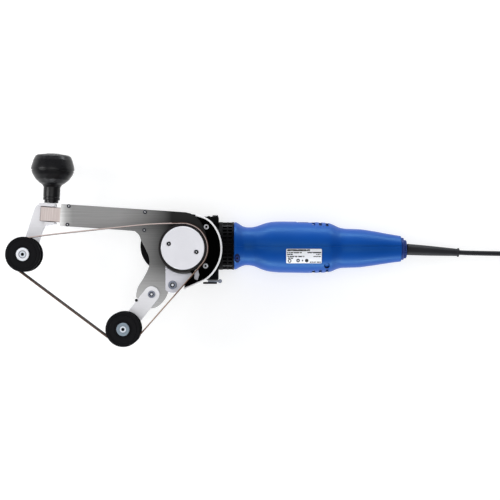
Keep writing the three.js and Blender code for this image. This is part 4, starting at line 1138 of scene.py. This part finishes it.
bar_out = fillet([(-11.2, 63), (11.2, 63), (11.2, 81), (-11.2, 81)], 1.0, 4)
arm_piece("slide_bar_ground", yz_bar(-42, 24, bar_out, 0.8), BAR_STEEL, "tension_slide", "slide_bar", "aluminium")
end_out = fillet([(-16.9, 60), (16.9, 60), (16.9, 84.1), (-16.9, 84.1)], 1.6, 5)
end_in = fillet([(-11.55, 62.65), (11.55, 62.65), (11.55, 81.35), (-11.55, 81.35)], 0.8, 3)
end_blk = yz_bar(-10.7, -0.3, end_out, 0.8, [end_in])
arm_piece("arm_end_cap", end_blk, ALU, ROOT, "arm_end_block", "aluminium")
channel = carve(yz_bar(0, 150, fillet([(-16.6, 60), (16.6, 60), (16.6, 84.1), (-16.6, 84.1)], 2.2, 5), 0.5), [
    ("DIFFERENCE", join(box(-5, 62, -14.1, 14.1, 62.5, 90, 1.5, 0.6), box(65, 147.5, -14.1, 14.1, 62.5, 90, 1.5, 0.6))),
])
arm_piece("arm_channel_folded", channel, STAINLESS, ROOT, "arm_channel", "stainless", sharp=36)

# helical tension spring inside the arm
coils, wire, r_mid = 9.0, 0.85, 5.55
sv, sf = [], []
steps, ns = int(coils * 30), 10
for i in range(steps + 1):
    t = i / steps
    e = 24.3 + wire + (61.7 - 24.3 - 2 * wire) * t
    a = 2 * math.pi * coils * t
    cpt = Vector((e, r_mid * math.cos(a), 72 + r_mid * math.sin(a)))
    tang = Vector(((61.7 - 24.3) / (2 * math.pi * coils), -r_mid * math.sin(a), r_mid * math.cos(a))).normalized()
    n1 = Vector((0, math.cos(a), math.sin(a)))
    n2 = tang.cross(n1)
    for k in range(ns):
        b = 2 * math.pi * k / ns
        sv.append(tuple(cpt + (n1 * math.cos(b) + n2 * math.sin(b)) * wire))
for i in range(steps):
    for k in range(ns):
        j = (k + 1) % ns
        sf.append((i * ns + k, i * ns + j, (i + 1) * ns + j, (i + 1) * ns + k))
sf.append(tuple(range(ns)))
sf.append(tuple(range(steps * ns, steps * ns + ns)))
spring = arm_piece("tension_spring_wire", (sv, sf), MACHINED, "tension_slide" if False else ROOT, "tension_spring", "machined_steel", weighted=False)
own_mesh(spring)

# ============================================================ front bracket
BR = [(-197.8, 68.6, 0.6), (-221.4, 68.6, 2), (-225.6, 67.4, 2), (-228.5, 64.8, 2), (-231.6, 58.6, 3), (-243.9, 20.1, 3), (-251.6, -5.4, 3)]
BR += arc(*FRONT, 12, 160, 350, 30)
BR += [(-222.6, 13.0, 3), (-219.3, 23.2, 2), (-217.7, 27.8, 2), (-214.6, 33.2, 2), (-210, 34.9, 1), (-197.8, 37, 0.5)]
bracket = join(
    stack(fillet(BR, 0.0, 4), rounded(51, 62.7, 0.8), [circle(*FRONT, 4.3, 36)]),
    stack(fillet([(-197.8, 68.6, 0.5), (-221.4, 68.6, 1), (-222.4, 68, 0.6), (-222.4, 64.5, 1), (-197.8, 62.8, 0.5)], 0.5, 3), rounded(52, 81, 0.6)),
    stack(fillet([(-197.8, 39.5, 0.5), (-213.8, 40.5, 1), (-212.6, 34.4, 0.6), (-210, 34.9, 0.6), (-197.8, 37, 0.5)], 0.5, 3), rounded(52, 81, 0.6)))
make("front_bracket_milled", *bracket, ALU, body="tension_slide", rep="front_bracket", slot="aluminium")

# knob: turned grip with a parting groove and a flat cap
KN = [(0, 0), (10.8, 0, 0.4), (10.8, 4.4, 0.4), (12.9, 4.4, 0.6), (12.9, 8.2, 0.4), (12.5, 8.6, 0.3), (12.5, 9.6, 0.3), (12.9, 10.0, 0.3),
      (12.9, 24.5, 3), (15.2, 28.2, 4), (19.5, 30.8, 6), (25.6, 36.2, 8), (30.6, 43.6, 8), (32.6, 48.8, 1.2), (32.0, 49.4, 0.3), (32.0, 50.2, 0.3), (33.1, 50.8, 0.6),
      (33.3, 52.6, 3), (32.7, 56.4, 8), (29.8, 66.4, 12), (27.0, 72.0, 2.4), (23.6, 74.0, 3), (12.5, 75.4, 2), (12.0, 75.0, 0.3), (11.2, 75.0, 0.3), (10.7, 75.9, 0.4), (0, 76.3)]
knob_rot = Matrix.Rotation(math.radians(-2.4), 3, "Z") @ Matrix.Rotation(math.radians(-90), 3, "X")
make("knob_grip", *move(lathe(KN, 128, 0.5, seg=6), rot=knob_rot), KNOB, body="tension_slide", rep="knob", slot="black_plastic",
     origin=(-204.9, 69.4, 62))


def tag(vf, rule):
    """Material index of every face from its centre."""
    v, f = vf
    return [rule(*(sum(v[i][k] for i in q) / len(q) for k in range(3))) for q in f]


def axle_piece(name, node, c, body, z0, zn, s0, s1, cap, rim):
    pr = [(0, z0), (6.5, z0, 0.8), (6.5, zn, 0.4), (4, zn, 0.1), (4, s0, 0.1), (8, s0, 0.4), (8, s1, 0.3), (4, s1, 0.1), (4, 129.25, 0.1),
          (9.8, 129.25, 0.3), (9.8, 130.9, 0.5), (9.1, 131.35, 0.4), (6.1, 131.35, 0.15), (5.8, 130.9, 0.15), (4.9, 130.9, 0.15), (4.6, 131.25, 0.15),
          (2.5, 131.25, 0.2), (2.3, 129.9, 0.2), (0, 129.7)]
    vf = lathe(pr, 72, 0.4, seg=3)

    def zone(x, y, z):
        r = math.hypot(x, y)
        if z < 129.2 or r > 6.0:
            return 0
        # the centre hole is painted shade in near-black
        return 1 if r > 4.65 else (3 if r > 2.5 else 2)
    return make(name, *vf, [cap, rim, DARK, ZINC], body=body, rep=node, slot="zinc_plated", origin=(c[0], c[1], 0), ids=tag(vf, zone))


def roller_piece(name, node, c, body):
    pr = [(4.45, 93.3), (FLANGE_R, 93.3, 0.7), (FLANGE_R, 95.6, 0.6), (24.2, 95.7, 0.3), (ROLLER_R, 96.2, 0.6), (ROLLER_R, 125.8, 0.6), (24.2, 126.3, 0.3), (FLANGE_R, 126.4, 0.6),
          (FLANGE_R, 128.5, 0.9), (24.9, 129.0, 0.4), (22.6, 129.0, 0.4), (22.1, 128.5, 0.3), (20.6, 128.5, 0.3), (20.1, 129.0, 0.3), (13.4, 129.0, 0.4), (12.9, 128.4, 0.3),
          (11.4, 128.4, 0.3), (10.9, 128.8, 0.3), (4.45, 128.8)]
    return make(name, *lathe(pr, 120, 0.4, True, seg=3), ROLLER, body=body, rep=node, slot="roller_plastic", origin=(c[0], c[1], 0))


axle_piece("front_axle_bolt", "front_axle", FRONT, "tension_slide", 46, 50.7, 63, 93, BRIGHT_ZINC, CAP_GREY)
roller_piece("front_idler", "front_roller", FRONT, "front_roller")
# the lower axle's cap and rim take a darker copy of the cap metal as painted shade
axle_piece("lower_axle_bolt", "lower_axle", LOWER, "lower_arm", 84.0, 87.4, 92.75, 93.0, CAP_SHADE, CAP_SHADE)
roller_piece("lower_idler", "lower_roller", LOWER, "lower_roller")

# ======================================================= lower arm, bracket
la = math.degrees(math.atan2(LOWER[1] - PIVOT[1], LOWER[0] - PIVOT[0]))
link = join(
    stack(arc(*PIVOT, 12.2, la + 90, la + 270, 40) + arc(*LOWER, 12.2, la - 90, la + 90, 40), rounded(87.7, 92.7, 0.5), [circle(*PIVOT, 4.3, 30), circle(*LOWER, 4.3, 30)]))
make("lower_link_bar", *link, ALU, body="lower_arm", rep="lower_link", slot="aluminium")
make("link_stop_pin", *move(lathe([(0, 88.2), (2.2, 88.2), (2.2, 94.5, 0.5), (0, 94.5)], 32, 0.4), -71.9, -79.5), BLACK, body="lower_arm", slot="black_plastic")
pv = polar([(0, 80), (lambda a: 7 * math.cos(math.pi / 6) / math.cos((a % (math.pi / 3)) - math.pi / 6), 80),
            (lambda a: 7 * math.cos(math.pi / 6) / math.cos((a % (math.pi / 3)) - math.pi / 6), 84.1), (4, 84.1), (4, 93), (5.6, 93), (5.6, 94.9), (5.2, 95.4),
            (4.3, 95.6), (lambda a: 3.6 * math.cos(math.pi / 6) / math.cos((a % (math.pi / 3)) - math.pi / 6), 95.6),
            (lambda a: 3.5 * math.cos(math.pi / 6) / math.cos((a % (math.pi / 3)) - math.pi / 6), 94.4), (1.7, 94.3), (0, 94.2)], 60)
# the hex socket's wall and floor ring are painted shade, its centre a painted highlight
make("link_pivot_bolt", *pv, [MID_STEEL, DARK, BRIGHT_ZINC], body="lower_arm", rep="link_pivot_screw", slot="zinc_plated",
     origin=(PIVOT[0], PIVOT[1], 0), ids=[0] * (len(pv[1]) - 180) + [1] * 120 + [2] * 60)

WB = arc(0, 0, 39, 225, 287, 40) + [(13.2, -40.2, 0.8), (-2.5, -60.9, 3), (-6.4, -65.2, 3), (-11, -67.6, 4), (-17, -68.4, 4), (-22.6, -67.4, 3), (-27.6, -63.9, 1)]
make("wheel_bracket_milled", *stack(fillet(WB, 0.0, 4), rounded(87.7, 91.7, 0.6), [circle(-16.8, -56.2, 2.8, 24)]), BRACKET_STEEL, rep="wheel_bracket", slot="aluminium")
# socket wall painted shade, socket centre a painted highlight
screw_piece("wheel_bracket_bolt", "wheel_bracket_screw", (-16.8, -56.2, 92), 6.6, 2.6, 4.0, 1.3, "hex", (MID_STEEL, DARK, BRIGHT_ZINC), shank=(2.4, 7))

# =========================================================== contact wheel
hub = [(6.3, 88), (12, 88, 0.6), (12, 95, 0.8), (30, 95, 0.6), (30, 126, 0.3), (6.3, 126)]
make("wheel_hub_turned", *lathe(hub, 96, 0.3, True), ALU, body="wheel_spindle", rep="wheel_hub", slot="aluminium")
tyre_cut = lambda r, n: (lambda a: r - 1.3 * (((a * n / (2 * math.pi)) % 1) < 0.10))
tz = [(30.3, 96), (35.9, 96), (36.45, 96.6)]
tz += [(36.45, 96.6 + 28.8 * k / 8) for k in range(1, 9)]
tz += [(36.4, 125.5), (35.7, 126), (32.9, 126), (32.7, 125.7), (30.3, 125.7)]
make("wheel_tyre_ground", *polar(tz, 160, True), TYRE, body="wheel_spindle", rep="wheel_tyre", slot="wheel_rubber")
disc_lv = [(126.3, 0.35), (126.4, 0.1), (126.7, 0), (128.6, 0), (128.9, 0.12), (129.15, 0.45), (129.3, 1.1)]
make("wheel_face_disc", *stack(circle(0, 0, 32.55, 144), disc_lv, [circle(-20.7, 6.3, 3.35, 30), circle(20.6, -6.0, 3.35, 30)]),
     BRIGHT, body="wheel_spindle", rep="wheel_disc", slot="bright_disc")
# the centre of each socket is a painted highlight in bright zinc
for nm, (dx, dy) in (("left", (-20.7, 6.3)), ("right", (20.6, -6.0))):
    screw_piece("disc_screw_%s_head" % nm, "disc_screw_" + nm, (dx, dy, 126.4), 3.0, 2.6, 1.9, 0.8, "star", (DARK, DARK, BRIGHT_ZINC), body="wheel_spindle")


# ================================================================== belt
def belt_line():
    """Middle line of the belt: round the three wheels, with a bowed top run."""
    rw, rr = WHEEL_R + 0.3 + BELT_T / 2, ROLLER_R + 0.3 + BELT_T / 2
    C = [(FRONT[0], FRONT[1], rr), (LOWER[0], LOWER[1], rr), (0, 0, rw)]

    def normal(a, b):
        d = math.hypot(b[0] - a[0], b[1] - a[1])
        return math.atan2(b[1] - a[1], b[0] - a[0]) - math.pi / 2 + math.asin((a[2] - b[2]) / d)
    n01, n12, n20 = normal(C[0], C[1]), normal(C[1], C[2]), 0.0
    pts = []
    for c, a0, a1 in ((C[0], math.radians(100), n01), (C[1], n01, n12), (C[2], n12, math.radians(90))):
        while a1 < a0:
            a1 += 2 * math.pi
        n = max(8, int((a1 - a0) / math.radians(2.5)))
        seg = [(c[0] + c[2] * math.cos(a0 + (a1 - a0) * k / n), c[1] + c[2] * math.sin(a0 + (a1 - a0) * k / n)) for k in range(n + 1)]
        if pts:
            p, q = pts[-1], seg[0]
            pts += [(p[0] + (q[0] - p[0]) * k / 40, p[1] + (q[1] - p[1]) * k / 40) for k in range(1, 40)]
        pts += seg
    top = catmull([(0, rw), (-19, 37.1), (-54, 35.6), (-100, 31.0), (-139.2, 26.8), (-200.2, 20.2), pts[0]], 8)
    return pts + [tuple(p[:2]) for p in top[1:-1]]


def offset_loop(pts, d):
    out = []
    m = len(pts)
    for i, p in enumerate(pts):
        a, b = pts[i - 1], pts[(i + 1) % m]
        l = math.hypot(b[0] - a[0], b[1] - a[1])
        out.append((p[0] + d * (b[1] - a[1]) / l, p[1] - d * (b[0] - a[0]) / l))
    return out


middle = belt_line()
po, pi_ = offset_loop(middle, BELT_T / 2), offset_loop(middle, -BELT_T / 2)
nb = len(po)
bv, bf, bid = [], [], []
prof_b = [("o", BELT_Z0 + 0.15), ("o", 106), ("o", 116), ("o", BELT_Z1 - 0.15), ("i", BELT_Z1 - 0.15), ("i", 111), ("i", BELT_Z0 + 0.15)]
ringv = []
for (ox, oy), (ix, iy) in zip(po, pi_):
    idx = []
    for w, z in prof_b:
        px, py = (ox, oy) if w == "o" else (ix, iy)
        bv.append((px, py, z))
        idx.append(len(bv) - 1)
    # crowned edges
    bv.append(((ox + ix) / 2, (oy + iy) / 2, BELT_Z1))
    bv.append(((ox + ix) / 2, (oy + iy) / 2, BELT_Z0))
    ringv.append(idx[:4] + [len(bv) - 2] + idx[4:] + [len(bv) - 1])
kinds = [0, 0, 0, 2, 2, 1, 1, 2, 2]
for i in range(nb):
    A, B = ringv[i], ringv[(i + 1) % nb]
    for k in range(9):
        j = (k + 1) % 9
        bf.append((A[k], A[j], B[j], B[k]))
        bid.append(0 if k == 3 and middle[i][0] > -15 else kinds[k])
belt = make("belt_loop", bv, bf, [ABRASIVE, CLOTH, BELT_EDGE], body=None, rep="abrasive_belt", slot="abrasive", ids=bid, sharp=50, weighted=False, merge=False)
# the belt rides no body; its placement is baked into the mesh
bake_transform(belt)

# ============================================ inner pieces keep their solids
INNER = {
    "spindle": MACHINED, "spindle_bearing_lower": MACHINED, "spindle_bearing_upper": MACHINED, "crown_gear": MACHINED,
    "bevel_pinion": MACHINED, "front_motor_bearing": MACHINED, "rear_motor_bearing": MACHINED, "rotor_shaft": MACHINED,
    "cooling_fan": BLACK, "rotor_core": COPPER, "stator": LAMINATION, "commutator": BRASS, "brush_upper": BRASS,
    "brush_lower": BRASS, "switch_module": BLACK,
}
for node, m in INNER.items():
    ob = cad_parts[node]
    if not ob.material_slots:
        ob.data.materials.append(m)
    for s in ob.material_slots:
        s.link = "OBJECT"
        s.material = m

# ============================================================ floor, lights
fl = Mat("floor", (0.55, 0.55, 0.55, 1), 0.7, Specular_IOR_Level=0.1)
fl.paint(fl.mix(fl.remap(fl.noise(2.2, 3), 0, 1), (0.54, 0.54, 0.54, 1), (0.56, 0.56, 0.56, 1)))
fl.b.inputs["Emission Color"].default_value = (1, 1, 1, 1)
fl.b.inputs["Emission Strength"].default_value = 0.60
me = bpy.data.meshes.new("floor")
bm = bmesh.new()
bmesh.ops.create_grid(bm, x_segments=12, y_segments=12, size=6)
bm.to_mesh(me)
bm.free()
me.materials.append(fl.m)
floor = bpy.data.objects.new("floor", me)
floor.location = (0.1, 0, -0.0001)
bpy.context.scene.collection.objects.link(floor)


def area(name, loc, target, sx, sy, power, color=(1, 1, 1)):
    d = bpy.data.lights.new(name, "AREA")
    d.shape = "RECTANGLE"
    d.size, d.size_y = sx, sy
    d.energy = power
    d.color = color
    o = bpy.data.objects.new(name, d)
    o.location = loc
    o.rotation_euler = (Vector(target) - Vector(loc)).to_track_quat("-Z", "Y").to_euler()
    bpy.context.scene.collection.objects.link(o)
    return o


area("overhead_soft", (0.1, 0.0, 3.4), (0.1, 0, 0), 2.8, 2.8, 33)
area("side_far", (0.1, 1.9, 1.35), (0.1, 0, 0.05), 2.6, 0.8, 3)
area("side_near", (0.1, -1.9, 1.35), (0.1, 0, 0.05), 2.6, 0.8, 3)
area("strip_far", (0.1, 1.25, 0.16), (0.1, 0, 0.06), 2.4, 0.3, 20, (0.93, 0.97, 1.0))
area("strip_near", (0.1, -1.25, 0.16), (0.1, 0, 0.06), 2.4, 0.3, 20, (0.93, 0.97, 1.0))
area("end_left", (-1.7, 0.25, 1.2), (-0.1, 0, 0.05), 0.9, 1.0, 16)

world = bpy.data.worlds.new("studio")
world.use_nodes = True
world.node_tree.nodes["Background"].inputs["Color"].default_value = (1, 1, 1, 1)
world.node_tree.nodes["Background"].inputs["Strength"].default_value = 0.24
bpy.context.scene.world = world
bpy.context.scene.view_settings.view_transform = "Standard"
bpy.context.scene.view_settings.look = "None"
